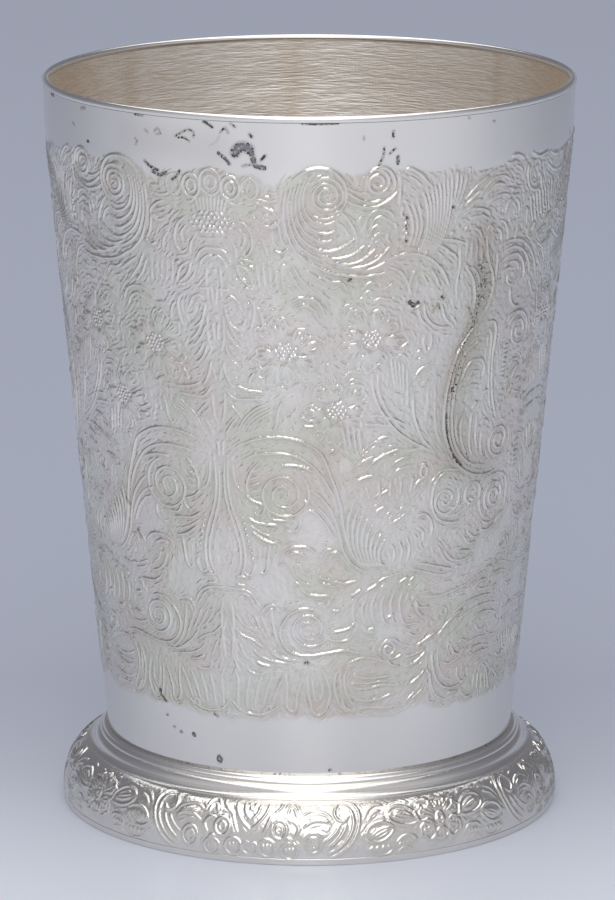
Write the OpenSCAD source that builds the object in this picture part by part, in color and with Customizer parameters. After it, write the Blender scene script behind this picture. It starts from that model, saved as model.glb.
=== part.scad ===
// Footed silver julep cup: a tapering wall with a wire at the mouth, a flat bottom let into its lower
// end, and a foot made of a reeded collar, a hollow stamped band and a plain base wire.
// Millimetres, +Z up. The origin is the centre of the ring that the cup stands on.
// Every piece is a ring or a disc round the Z axis. Sections are drawn as [radius, height].

/* [Cup wall] */
// Height from the table to the top of the rim wire
cup_h = 112; // [100:0.5:125]
// Outside radius of the wall at the mouth
mouth_r = 39.85; // [37:0.05:44]
// Outside radius of the wall where the foot starts
waist_r = 31; // [28:0.1:33]
// Thickness of the wall
wall_t = 0.8; // [0.6:0.05:1.2]
// Height of the more upright band under the mouth
lip_h = 7; // [4:0.5:12]
// Growth of the wall's radius over that band
lip_flare = 0.25; // [0:0.05:0.6]

/* [Bottom disc] */
// Thickness of the bottom
bottom_t = 1; // [0.6:0.1:1.6]

/* [Rim wire] */
// Radius of the round wire at the mouth
rim_wire_r = 0.55; // [0.45:0.05:0.8]
// Depth of the flat filed under the wire, where it sits on the wall
rim_flat = 0.1; // [0.05:0.01:0.2]

/* [Foot collar] */
// Height of the reeded collar
collar_h = 3.1; // [2.4:0.05:4]
// Width by which the collar stands out from the wall
collar_w = 2.9; // [2.2:0.1:4]
// Width of the flat on top of the collar, where the solder lies
collar_land = 0.3; // [0.2:0.05:0.5]
// Height of the plain edge round the collar's bottom
collar_edge = 0.1; // [0.05:0.05:0.4]
// How far each of the two upper reeds swells out of its chord
reed_rise = 0.18; // [0.1:0.02:0.3]
// How far the roll under them swells out of its chord
roll_rise = 0.3; // [0.1:0.02:0.5]
// Depth of the cove under the roll
cove_depth = 0.14; // [0.06:0.02:0.3]

/* [Foot band] */
// Height of the stamped band between the collar and the base wire
band_h = 7.75; // [6:0.05:10]
// Width by which the band swells out past the collar's edge
band_w = 3.9; // [3:0.1:5]
// Thickness of the stamped sheet
band_t = 0.7; // [0.5:0.05:1]
// Distance from the collar's edge in to the centre of the band's oval section
swell_in = 0.9; // [0.4:0.1:2]
// Height of the band's widest ring above the base wire
swell_z = 0.8; // [0.3:0.1:1.5]
// Width of the flange that laps under the wall's lower edge
flange_lap = 0.4; // [0.2:0.05:0.6]

/* [Base wire] */
// Height of the plain wire that the cup stands on
base_h = 1; // [0.7:0.1:1.5]
// Width of that wire
base_w = 1; // [0.8:0.1:1.5]
// Size of the worn edge along the outside of that wire
base_edge = 0.15; // [0.05:0.05:0.3]

/* [Solder] */
// Leg of the solder fillet inside the cup, round the bottom
bottom_fillet = 0.6; // [0.3:0.1:1]
// Leg of the solder fillet under the cup, between the bottom and the flange
foot_fillet = 0.6; // [0.3:0.05:1]

/* [Hidden] */
$fn = 96;

// Colours
polished = [0.80, 0.80, 0.82];
satin = [0.74, 0.73, 0.70];
dulled = [0.55, 0.53, 0.50];

// Heights
seat_z = base_h + band_h;
foot_h = seat_z + collar_h;
floor_z = seat_z + bottom_t;
wall_top = cup_h - 2 * rim_wire_r + rim_flat;
lip_z = wall_top - lip_h;

// Radii
lip_r = mouth_r - lip_flare;
collar_r = waist_r + collar_w;
foot_r = collar_r + band_w;
rim_r = mouth_r - wall_t / 2;

// Outside and inside radius of the tapering wall at a height below the upright band
wall_slope = (lip_r - waist_r) / (lip_z - foot_h);
function wall_out(z) = waist_r + wall_slope * (z - foot_h);
function wall_in(z) = wall_out(z) - wall_t;

// Oval that the stamped band follows, from the collar's edge to the base wire
swell_c = [collar_r - swell_in, base_h + swell_z];
swell_a = foot_r - swell_c[0];
shoulder_angle = asin(swell_in / swell_a);
swell_b = (seat_z - swell_c[1]) / cos(shoulder_angle);
band_steps = 16;

// Point on that oval, set in by a thickness, at an angle from its top
function on_swell(angle, inset) =
  swell_c + [(swell_a - inset) * sin(angle), (swell_b - inset) * cos(angle)];
// Angle at which the oval, set in by a thickness, passes a height
function swell_angle(z, inset) = acos((z - swell_c[1]) / (swell_b - inset));
// Points on the oval between two heights
function swell_arc(z_from, z_to, inset) =
  let (from = swell_angle(z_from, inset), to = swell_angle(z_to, inset))
  [for (i = [0 : band_steps]) on_swell(from + (to - from) * i / band_steps, inset)];

// Collar section: the grooves under its two reeds and its roll, as shares of its width and height
reed_1_shares = [0.29, 0.84];
reed_2_shares = [0.43, 0.65];
roll_shares = [0.72, 0.29];
moulding_steps = 8;

// Points of a rounded moulding from one point towards another, swelling out to its left
function moulding(from, to, rise) =
  let (run = to - from, out = [-run[1], run[0]] / norm(run))
  [for (i = [0 : moulding_steps - 1])
    from + run * i / moulding_steps + out * rise * sin(180 * i / moulding_steps)];
// Point in the collar's section from its shares
function collar_point(shares) = [waist_r + collar_w * shares[0], seat_z + collar_h * shares[1]];

// Ring or disc turned from a section
module turned(section) {
  rotate_extrude() polygon(section);
}

// The cup's wall, open at both ends
module body_wall() {
  color(polished) turned([
    [wall_in(seat_z), seat_z],
    [wall_out(seat_z), seat_z],
    [lip_r, lip_z],
    [mouth_r, wall_top],
    [mouth_r - wall_t, wall_top],
    [lip_r - wall_t, lip_z]
  ]);
}

// Flat bottom, let into the wall's lower end
module bottom_disc() {
  color(satin) turned([
    [0, seat_z],
    [wall_in(seat_z), seat_z],
    [wall_in(floor_z), floor_z],
    [0, floor_z]
  ]);
}

// Round wire that stiffens the mouth, filed flat where it sits on the wall
module rim_wire() {
  color(polished) rotate_extrude() difference() {
    translate([rim_r, cup_h - rim_wire_r]) circle(r = rim_wire_r);
    translate([rim_r - rim_wire_r, wall_top - rim_wire_r]) square([2 * rim_wire_r, rim_wire_r]);
  }
}

// Reeded moulding round the foot of the wall: two fine reeds, a roll, and a cove down to a plain edge
module foot_collar() {
  top = [waist_r + collar_land, foot_h];
  groove_1 = collar_point(reed_1_shares);
  groove_2 = collar_point(reed_2_shares);
  groove_3 = collar_point(roll_shares);
  edge = [collar_r, seat_z + collar_edge];
  color(polished) turned(concat(
    [[wall_out(seat_z), seat_z], [wall_out(foot_h), foot_h]],
    moulding(top, groove_1, reed_rise),
    moulding(groove_1, groove_2, reed_rise),
    moulding(groove_2, groove_3, roll_rise),
    moulding(groove_3, edge, -cove_depth),
    [edge, [collar_r, seat_z]]
  ));
}

// Hollow band stamped from sheet, with a flange turned in under the collar and the wall
module foot_band() {
  flange_r = wall_out(seat_z) - flange_lap;
  under_z = seat_z - band_t;
  inner = swell_arc(base_h, under_z, band_t);
  color(polished) turned(concat(
    [[flange_r, seat_z]],
    swell_arc(seat_z, base_h, 0),
    inner,
    [[flange_r, under_z]]
  ));
}

// Plain wire under the band, which the cup stands on
module base_wire() {
  color(polished) turned([
    [foot_r - base_w, 0],
    [foot_r - base_edge, 0],
    [foot_r, base_edge],
    [foot_r, base_h],
    [foot_r - base_w, base_h]
  ]);
}

// Solder fillet inside the cup, between the bottom and the wall
module bottom_solder() {
  top_z = floor_z + bottom_fillet;
  color(dulled) turned([
    [wall_in(floor_z) - bottom_fillet, floor_z],
    [wall_in(floor_z), floor_z],
    [wall_in(top_z), top_z]
  ]);
}

// Solder fillet on the collar's top, against the wall
module collar_solder() {
  top_z = foot_h + collar_land;
  color(dulled) turned([
    [waist_r, foot_h],
    [waist_r + collar_land, foot_h],
    [wall_out(top_z), top_z]
  ]);
}

// Solder fillet under the cup, between the flange, the wall and the bottom
module foot_solder() {
  flange_r = wall_out(seat_z) - flange_lap;
  leg = min(foot_fillet, band_t);
  color(dulled) turned([
    [flange_r - leg, seat_z],
    [flange_r, seat_z - leg],
    [flange_r, seat_z]
  ]);
}

body_wall();
bottom_disc();
rim_wire();
foot_collar();
foot_band();
base_wire();
bottom_solder();
collar_solder();
foot_solder();
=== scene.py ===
import math

import bpy
import numpy as np
from bpy.props import FloatProperty, FloatVectorProperty, PointerProperty
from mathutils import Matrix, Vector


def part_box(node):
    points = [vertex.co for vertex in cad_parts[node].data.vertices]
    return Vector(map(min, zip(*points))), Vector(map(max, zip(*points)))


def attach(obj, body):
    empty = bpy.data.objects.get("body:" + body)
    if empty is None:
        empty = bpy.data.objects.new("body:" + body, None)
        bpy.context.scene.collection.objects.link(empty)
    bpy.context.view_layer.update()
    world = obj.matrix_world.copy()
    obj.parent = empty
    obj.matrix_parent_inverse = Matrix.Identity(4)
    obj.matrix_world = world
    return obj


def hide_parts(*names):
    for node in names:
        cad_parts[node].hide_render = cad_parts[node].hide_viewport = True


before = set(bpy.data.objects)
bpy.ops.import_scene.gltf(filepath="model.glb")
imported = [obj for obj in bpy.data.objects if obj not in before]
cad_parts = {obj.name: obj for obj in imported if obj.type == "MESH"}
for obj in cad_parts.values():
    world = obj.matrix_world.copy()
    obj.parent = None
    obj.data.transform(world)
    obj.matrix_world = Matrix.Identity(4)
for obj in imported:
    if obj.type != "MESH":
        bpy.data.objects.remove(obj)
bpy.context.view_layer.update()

bl_info = {
    "name": "Chased julep cup",
    "version": (1, 0, 0),
    "blender": (4, 5, 0),
    "location": "View3D > Sidebar > Julep Cup",
    "description": "Builds a footed silver julep cup with chased rococo ornament",
    "category": "Add Mesh",
}

# Lengths inside the functions are millimetres; the mesh is written in metres.
MM = 0.001


def node_box(node):
    """Lowest and highest corner of a CAD node in millimetres."""
    low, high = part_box(node)
    return np.array(low) / MM, np.array(high) / MM


WALL_BOX = node_box("body_wall")
RIM_BOX = node_box("rim_wire")
COLLAR_BOX = node_box("foot_collar")
BAND_BOX = node_box("foot_band")
BASE_BOX = node_box("base_wire")


# Settings

def length(name, description, default):
    """Setting for a length in metres."""
    return FloatProperty(name=name, description=description, default=default, unit="LENGTH",
                         precision=5)


def colour(name, description, default):
    """Setting for a colour."""
    return FloatVectorProperty(name=name, description=description, default=default,
                               subtype="COLOR", min=0.0, max=1.0)


class CupShape(bpy.types.PropertyGroup):
    """Sizes of the cup and of its ornament"""

    mouth_radius: length("Mouth radius", "Outside radius of the wall at the mouth",
                         WALL_BOX[1][0] * MM)
    waist_radius: length("Waist radius", "Outside radius of the wall on the collar", 0.031)
    wall_thickness: length("Wall thickness", "Thickness of the wall away from the ornament", 0.0008)
    lip_height: length("Lip height", "Height of the more upright band under the mouth", 0.007)
    lip_flare: length("Lip flare", "Growth of the radius over that band", 0.00025)
    sheet_thickness: length("Band thickness", "Thickness of the foot band's stamped sheet", 0.0007)
    relief: FloatProperty(
        name="Relief", description="Height of the ornament as a share of the normal height",
        default=1.0, min=0.0, max=1.5, subtype="FACTOR")


class CupFinish(bpy.types.PropertyGroup):
    """Colours of the silver"""

    silver: colour("Silver", "Colour of the polished silver", (0.77, 0.747, 0.715))
    satin: colour("Satin", "Colour of the satin inside", (0.95, 0.925, 0.885))
    tarnish: colour("Tarnish", "Colour of the tarnish in the hollows", (0.30, 0.25, 0.20))
    solder: colour("Solder", "Colour of the solder", (0.42, 0.40, 0.37))


class CupStage(bpy.types.PropertyGroup):
    """Floor and light"""

    # The floor's two tones paint the fall-off of the light, bright in front of the cup and shaded
    # behind it
    floor_near: colour("Floor in front", "Colour of the floor in front of the cup",
                       (0.82, 0.85, 0.92))
    floor_far: colour("Floor behind", "Colour of the floor far behind the cup", (0.38, 0.41, 0.50))
    key_power: FloatProperty(
        name="Key light", description="Power of the softbox over the cup, in watts",
        default=51.0, min=0.0)


# Grids and meshes

def ring_points(radius, angle, height):
    """Points at a radius, an angle in degrees from the front (-Y) towards +X, and a height."""
    a = np.radians(angle)
    return np.stack(np.broadcast_arrays(radius * np.sin(a), -radius * np.cos(a), height), -1)


def quads(rows, cols, wrap, first=0, flip=False):
    """Quads of a grid of rows and columns; wrap joins the last column to the first."""
    i = np.arange(rows - 1)[:, None]
    j = np.arange(cols if wrap else cols - 1)[None, :]
    k = (j + 1) % cols
    q = np.stack([i * cols + j, i * cols + k, (i + 1) * cols + k, (i + 1) * cols + j], -1)
    q = q.reshape(-1, 4) + first
    return q[:, ::-1] if flip else q


def cap(outer, inner, step, wrap, flip):
    """Faces between an outer edge and an inner edge that has one point for each step of it."""
    k = np.arange(len(inner) if wrap else len(inner) - 1)
    along = [outer[(k * step + s) % len(outer)] for s in range(step + 1)]
    f = np.stack([inner[(k + 1) % len(inner)], inner[k], *along], -1)
    return f[:, ::-1] if flip else f


def make_mesh(name, points, faces, normals=None, marks=None):
    """Mesh from points in millimetres and lists of faces, with its own normals and marks."""
    me = bpy.data.meshes.new(name)
    corners = np.concatenate([f.ravel() for f in faces]).astype(np.int32)
    sizes = np.concatenate([np.full(len(f), f.shape[1]) for f in faces])
    me.vertices.add(len(points))
    me.vertices.foreach_set("co", (points * MM).astype(np.float32).ravel())
    me.loops.add(len(corners))
    me.loops.foreach_set("vertex_index", corners)
    me.polygons.add(len(sizes))
    me.polygons.foreach_set("loop_start", np.r_[0, np.cumsum(sizes)[:-1]].astype(np.int32))
    me.update(calc_edges=True)
    me.shade_smooth()
    if normals is not None:
        own = me.attributes.new("custom_normal", "FLOAT_VECTOR", "POINT")
        own.data.foreach_set("vector", normals.astype(np.float32).ravel())
    for key, values in (marks or {}).items():
        own = me.attributes.new(key, "FLOAT", "POINT")
        own.data.foreach_set("value", values.astype(np.float32).ravel())
    return me


def new_object(name, data):
    """Object at the origin, linked to the scene."""
    thing = bpy.data.objects.new(name, data)
    bpy.context.scene.collection.objects.link(thing)
    return thing


def add_piece(name, me, materials, replaced):
    """Object that rides on the cup and stands for its CAD nodes."""
    piece = new_object(name, me)
    for m in materials:
        me.materials.append(m)
    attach(piece, "root")
    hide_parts(*replaced)
    return piece


def share_of(value, full):
    """Value as a share of a full value, held between 0 and 1."""
    return np.clip(value / full, 0.0, 1.0)


def unit(v):
    """Vectors scaled to length one."""
    return v / np.maximum(np.linalg.norm(v, axis=-1, keepdims=True), 1e-12)


def sheet_normals(p):
    """Normals of a grid of points: the cross product of its steps along columns and rows."""
    return unit(np.cross(np.gradient(p, axis=1), np.gradient(p, axis=0)))


def run_along(p, axis):
    """Run of a sheet along one axis at each point: four thirds of the run between its near
    neighbours less a third of the run between the next ones, which keeps fine lines steep."""
    near = np.moveaxis(np.gradient(p, axis=axis), axis, 0).copy()
    p = np.moveaxis(p, axis, 0)
    near[2:-2] = (4.0 * near[2:-2] - (p[4:] - p[:-4]) / 4.0) / 3.0
    return np.moveaxis(near, 0, axis)


def relief_normals(p):
    """Normals of a sheet with fine relief, from its runs along columns and rows."""
    return unit(np.cross(run_along(p, 1), run_along(p, 0)))


def add_shell(name, points, normals, faces, marks, materials, replaced):
    """Piece of an outer and an inner sheet of points. The last list of faces is its inside, which
    takes the second material."""
    points, normals = (np.concatenate([sheet.reshape(-1, 3) for sheet in pair])
                       for pair in (points, normals))
    me = make_mesh(name, points, faces, normals, marks)
    which = np.zeros(len(me.polygons), np.int32)
    which[-len(faces[-1]):] = 1
    me.polygons.foreach_set("material_index", which)
    return add_piece(name, me, materials, replaced)


# Steps round each turned ring
RING_STEPS = 360
# Depth in millimetres of a dent in a section that counts as fully sheltered, and the angle in
# degrees from which an edge of a turned piece stays sharp
DENT = 0.02
CREASE = 35.0


def section_hollows(section):
    """Share of shelter along a closed section: how far each point lies inside the middle of its
    two neighbours, against its outward normal, from 0 to 1."""
    before, after = np.roll(section, 1, 0), np.roll(section, -1, 0)
    run = unit(after - before)
    dip = ((before + after) / 2.0 - section) @ np.array([[0.0, 1.0], [-1.0, 0.0]])
    return share_of(np.sum(dip * run, 1), DENT)


def turned_piece(name, section, materials, replaced):
    """Closed section of [radius, height] points turned round the cup's axis."""
    section = np.asarray(section, float)
    after = np.roll(section, -1, 0)
    if np.sum(section[:, 0] * after[:, 1] - after[:, 0] * section[:, 1]) < 0.0:
        section = section[::-1]
    angle = np.arange(RING_STEPS) * 360.0 / RING_STEPS
    p = ring_points(section[:, 0][:, None], angle[None, :], section[:, 1][:, None])
    rows = len(section)
    i = np.arange(rows)[:, None]
    j = np.arange(RING_STEPS)[None, :]
    row, next_row = i * RING_STEPS, (i + 1) % rows * RING_STEPS
    k = (j + 1) % RING_STEPS
    q = np.stack([row + j, row + k, next_row + k, next_row + j], -1).reshape(-1, 4)
    dent = np.repeat(section_hollows(section), RING_STEPS)
    me = make_mesh(name, p.reshape(-1, 3), [q], None, {"hollow": dent})
    me.set_sharp_from_angle(angle=math.radians(CREASE))
    return add_piece(name, me, materials, replaced)


# The ornament's strokes

# Half width and height of each kind of raised line, in millimetres.
LINES = {"B": (0.34, 0.24), "F": (0.31, 0.20), "S": (0.29, 0.175), "T": (0.26, 0.135)}

# Each motif is drawn in degrees round the cup and millimetres above the table.
# A row starts with its kind of line (B bold, F firm, S soft, T thin), then points "angle height"
# with commas between. F*5 spreads five lines between two rows of points, F@ is a spiral (centre,
# first radius, last radius, turns, start angle), F0 a ring (centre, half width in degrees, half
# height), o a patch of beads (centre, half width, half height, pitch), and W a flower (centre,
# radius, petals, turn); R is a flower without beads. P is a broad swelling under the lines: width,
# height, then points.
WALL_MOTIFS = {
    "loops under the lip": """
S0 -21.2 102.1 2.4 1.9
S0 -21.2 102.1 1.3 1.0
F0 -16.8 101.4 2.0 1.7
F0 -16.8 101.4 1.0 0.9
T0 -12.6 101.4 1.7 1.5
F -18.5 100.5, -17 99.2, -15.5 99
S*5 -21.2 100.2, -21.2 97.6 | -17.6 100, -18.4 97.6
""",
    "beaded rosette": """
o -21.2 96.1 5.2 1.6 0.8
F -16 97, -13.2 95.6, -12.2 93.2, -13.6 91.4, -15.6 92.2
S -15.4 95.6, -13.9 94.2, -14.3 92.8
F -22.8 92, -20.6 92.4, -18.4 91.8, -16.9 90
F -22 90.6, -20.2 91.2, -18.6 90.4, -18 89.2
S -17.8 94.4, -16.2 92.8, -15.8 91
F -16 90.3, -15 88.2, -12 86.3
F -16 90.3, -13.2 89, -12 86.3
B -14.4 86.7, -12 86.4
B -13.5 89.9, -11.8 89.7
S -15.5 91, -12.2 90.6
F -10.6 98.8, -8.2 98.3, -6.4 97, -7.6 95.8, -10.6 96.2
S -10.2 97.8, -8 97.3
B -8.4 96, -6.6 96.6
B -6.5 96.8, -6.2 94.8, -5.4 93.3, -4.4 93
B -7.6 92.5, -6 92, -4.3 92.8
S -5.9 98.6, -5.6 96, -5 94
S -11 94.4, -9.5 93.2, -9 91.4
T*5 -11.5 90.5, -10.8 86.5 | -6 90.4, -5.6 86.4
S -8.8 87, -7.6 87.8, -6.8 89.4
S -20.4 86.3, -17.4 86.2
S -11.8 100, -9 99.6, -6.5 99.9
""",
    "big scroll": """
B -4.2 102.4, -1 104, 2 104.5, 5 104, 7.2 102.4, 7.8 100.4, 6.8 98.5, 4 97.7
F@ 3.6 100.5 0.8 2.7 2.3 40
F*6 0.3 103.6, -1 101.5, -1.2 99, 0.4 97, 3.5 96.2, 6.5 97 | -4.6 102.4, -5.4 99, -5 95.6, \
-3 92.4, 1 90.2, 6 89.2
B 0.2 93.2, 2.5 92.3, 5.5 92.4, 8.5 93.4, 10.5 94.8
B 1.5 92, 5 91.2, 9 91.6, 12.5 93.3
B 3.3 91.1, 7 90.3, 11 90.7, 15 92.8
B 5.5 90.2, 10 89.7, 14.5 90.7, 18.2 93.3
F 8.3 89.6, 13 89.4, 17.4 90.6
B -0.4 91.1, 3.6 89.3, 9 88.5, 14 88.5, 18.6 89
B 1 95.3, 3.5 94.8, 5.8 95.4
F 0.8 97.4, 3.4 97, 5.6 97.5
F 6.6 98.2, 8.4 96.8, 9.8 95, 10.3 93.4
S 5.6 96.6, 7.4 95.8, 8.6 94.2
S 1.5 93.9, 3 93.5, 5 93.9
S*5 -4.7 99.6, -3.3 99.5 | -4.9 97.6, -3.5 97.5
F -3.6 90.6, -2.2 88.6, 0.4 86.6, 1.2 85.9
S -4.6 90, -3 87.6, -0.6 85.9
F -1.2 89.6, 1.5 88.4, 3.9 87.4
F 3 88.4, 5 87.7, 7 87.6, 8.6 86.4
""",
    "small scroll and shell": """
F 7.6 102, 9 101.2, 11 100.7, 13 100.7
B 7.8 101.2, 10 100, 13 99.3, 16 99.8
B 7.5 100, 9.5 99.1, 13.5 98.6, 17 99.6, 19.3 101.2
F@ 14.4 102.2 0.5 2.0 1.8 200
F 11.8 100.8, 12.2 103, 14.2 104.4, 16.8 104, 18.2 102.2, 17.6 100.4
F 11.5 95, 12.3 97, 14.3 98.2, 17 97.9, 18.5 96.6
F 12.8 95.2, 13.6 96.6, 15.3 97.2, 17 96.7
F 12.3 94.2, 13.8 95.7, 16 95.9
S 13 93.2, 14.5 94.6, 16.3 94.9
F 17.2 95.3, 16.8 94, 17.7 93.1
o 20.7 95 0.4 2.1 0.62
S 19 103.4, 19.4 101, 19.2 98.6
""",
    "acanthus fan": """
F 20.2 103.6, 21.2 104.1, 23.6 103.2, 26.5 101.2
S 21 103, 22.6 102.4, 24.5 101.2
F*8 24.3 100.8, 25.6 98.5, 26 95.5, 25 92.8, 23.4 90.9 | 31.3 103.3, 31.5 99.5, 31 96, 29.6 93, 27.4 91
S*3 20.6 99.2, 22 97.2, 22.6 95, 21.8 92.4 | 23 100, 24.2 97.4, 24.6 95, 23.6 92.4
B 20 99.4, 21.4 99
F 20.2 98.8, 19.8 97.3, 21.2 96.6
F*3 32.7 103.4, 32.6 100.5, 31.8 97.8 | 35.2 102.8, 34.4 100, 32.8 97.4
B 35 98.6, 38 100.5, 41.6 101.9
B 35.2 97.8, 37.6 99, 40.2 99.9
F 35.5 97, 37.6 98, 39.6 98.6
F 38.5 98.5, 42 100.9, 45.5 101.4, 48.6 100.4
S 40 98.3, 43.5 100.2, 47 99.9
F 41 97.6, 43.6 98.4, 46.5 98.6, 48.6 97.9
F 34.5 96.2, 37.5 97.1, 41 96.7, 42.9 95.6
S 36.4 95.7, 40 96, 42 95.2
B 35.3 94.2, 36.6 94.6
S 38 94.2, 39.8 93.6, 40.6 92.4
F 41.6 93.4, 42.8 94.2, 43.8 93.4
S 45.2 94.8, 47.2 94.3, 48.5 92.8, 48.7 91.2
F 44.8 93.6, 46.2 93, 46.6 91.4
B 31.4 93.8, 33 94.1
B 25.3 91.1, 26.6 91.8
B 47.2 95.9, 47.8 97.2, 49.2 97.7
F 48.6 99, 50 98.9, 51.6 98.9
S 50 97.6, 51.6 96.9, 52.2 95.4
S 55 96, 55.4 93
F 52.3 93.6, 51.4 92.2, 51 90.9
F 47.8 104, 50 104.1, 52.6 103.2
S 49.6 102.6, 51 102.2, 52.2 101.6
""",
    "arch and stippled ground": """
F 15.6 90.2, 18 91, 21 91.4, 24.5 91.2, 28 90, 30.4 88.2, 32.2 86
S 17 89.8, 20 88.9, 22.2 86.6, 23 84.8
S 24 89.8, 22.6 87.5, 22.2 85.2
F 27.4 88.7, 28.8 87.5, 29.7 86
F 29.4 89.4, 31 87.8, 32.4 85.8
S 26 91.9, 28.5 92.4, 31 91.6, 33 90.4
S 29 93.2, 33 92.8, 36.5 92
F 30.5 91.3, 32.8 90.8, 34.1 89.7
B 22.4 84.7, 22.7 83.4, 24.2 83.2, 25.4 83.9
F 26 84.2, 26.6 82, 28.6 80.5, 31 79.9, 33.2 79.9
S 24.6 83.4, 25.3 81.8, 27 80.4
F 30.5 83.5, 31.5 81.5, 33.2 80.2
S 26.8 79.6, 26.4 78, 27.4 76.4, 28.4 77.8, 28.2 79.6
F 36.3 88.6, 38 87.4, 39.2 85.8, 39.7 83.8, 39.4 82
S 38 88.6, 40 87.2, 40.8 85.4
S*9 39.9 84.8, 41.7 85.2 | 38.2 79.4, 40.2 80
S 34.5 92, 34.8 89, 34.2 86, 34.6 83
S*4 36.4 93, 36.2 89.8 | 40.6 91.5, 40.8 88.6
S*4 41.4 88.6, 44.2 88.4 | 41.6 83.2, 44.4 84
""",
    "tall line and arch scroll": """
F 42.3 93.6, 42.2 91.5, 43.1 89, 44.6 87, 45.2 85, 44.3 82.6, 42.6 80.9, 40.8 79.7
S 45.6 90.4, 45.9 88, 45.5 85.8
F 45 90, 48 91.2, 51.5 91.3, 55 90.6, 58.5 88.8, 61 86.2, 62 84
F 47 89.6, 51 90.3, 55 89.3, 57.8 87.2, 58.3 85.2
B 47.6 88.5, 51.5 89.2, 54.5 88.2, 56 86.2, 55.4 84.4
S 48 87.5, 50.5 88.1, 53 87.6, 54 86.4
S 47.5 86.6, 49.5 87.2, 51.6 86.9
F 50 86.6, 49.8 85.2, 51.2 84.6, 53 85.4
B 51.2 84.2, 51.5 82.4, 53 81.2, 55.4 80.9
S 58.8 84.6, 60.5 82.6, 62.6 82
T 57.5 90.4, 60.5 89.2, 63.5 87, 65 84.8
T 60 91, 63 89.6, 65.4 87.2, 66.4 85
F 54.4 102.8, 54.2 100.6, 55.5 98.7, 58 98.1, 60.2 98.6
F 55.2 104, 57.5 103.2, 60 103.2, 62.6 103.5
F 57.8 101, 59.6 100, 60.6 98.2
T0 57.2 100.9 2.0 1.8
S*7 55.8 97.8, 57 95, 58.2 93 | 63.5 98.8, 65 95.6, 66.4 94
B 57.6 92, 59.2 93.3
B 64.6 92.4, 66 93.7, 67.2 93.9
o 62.4 94.4 1.8 0.7 0.7
S 59.6 91, 62.5 91.9, 65 92
F 60.8 90, 63 89.3, 66 90, 68.8 91.3
F 62.6 101.6, 65.6 100.4, 68.8 100
S 63 103.4, 66 102.6, 68.8 102.6
S*4 64 99.4, 65 97 | 68.8 98.8, 68.8 95.6
""",
    "long leaf": """
B 45 82.2, 43.6 80.8, 41 79.5, 39 78.5, 37 76.8, 35.3 74.8, 34.2 72.5, 33.4 70, 33 67, 33.3 64.3, \
34.5 62, 36.2 60, 38.4 58.2, 41.5 56.9, 45 56.2, 49 56.1, 52 56.6, 54.6 57.7
F 42 76.8, 39.5 76.4, 38 75.3, 36.6 72.5, 35.6 69.5, 35.3 66, 36 63, 37.4 61, 39.5 59.4, 42 58.3, \
45 57.6, 48.6 57.6
S 36 74.6, 34.9 71.6, 34.3 68, 34.4 64.6, 35.8 61.6, 38 59.4
B 38.4 75.9, 40.5 76.4, 42.2 77.1
B 37.4 71.4, 38.4 73, 40.4 74.3
F 38 72.4, 40 74, 42.8 74.1, 44.3 72.8, 44 71.4
S 39 71.2, 40.6 72.4, 42.6 72.3
F 41.3 66.6, 41 63.5, 41.4 60.8, 42.7 59.1
S 38.7 67, 38.1 64, 39.2 61.2, 41 59.7
S 36.9 66.6, 36.7 64, 37.9 61.5
B 41.3 66.7, 42.2 67.6, 43 67.3
F 44.4 64.2, 46 64.5, 47.6 63.8
S 44 68.8, 45.6 69.1, 47 68.8
S 43 65.8, 43 62.6, 43.8 60
S 45 63, 45 60.6, 46.2 58.8
F 43 78.4, 45.2 79.5, 46.8 79.2, 47.3 77.5, 46.8 74.5, 47 71, 47.8 68, 49.2 65.5, 50.6 63.7
S 42.6 77.7, 45 78.4, 46 77, 45.8 74.4, 46 71, 46.8 67.6, 48 65.3
S 39 69.8, 41 70.4, 43.2 70
""",
    "curls beside the long leaf": """
F@ 56 77.2 0.5 2.9 2.2 100
F 50.8 79, 53.4 80, 56.6 80, 59.4 78.6
S*8 50.4 75.3, 52.6 75.4 | 50.3 70.4, 52 70.6
B 54.4 69.9, 56 71.2, 57.6 71.9
B 53.6 67.9, 55.7 69.1
B 51.8 69.5, 53.2 70.4
F 55.8 67.9, 58 67.5, 59.7 68.1
S 56.4 69.5, 58.8 69.7
F 50 66.3, 51.8 66.9
F 52.8 71.8, 55 72.9, 57.4 72.6
F@ 51.6 61 0.5 2.9 2.1 0
S 58 60.2, 60 60.9, 63.2 60.5
S*5 58.4 59.6, 61 59.8 | 58.6 56.4, 61.4 56.6
F 62.2 57, 63.4 54.8, 65 52.9
F 60.3 52.9, 64 51.6, 68.8 51.5
S 61 64.8, 64 66.2, 68.8 66.6
S 60 63, 64 64.4, 68.8 64.8
S*5 61 70, 65 74 | 66 68, 68.8 73.4
F 59.6 74.4, 62.6 76.4, 64 79.4, 63.4 82.2
S 61.4 73.4, 65 76.4, 66.6 80, 66.4 84
W 68.8 78.6 4.2 8 10
""",
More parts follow.
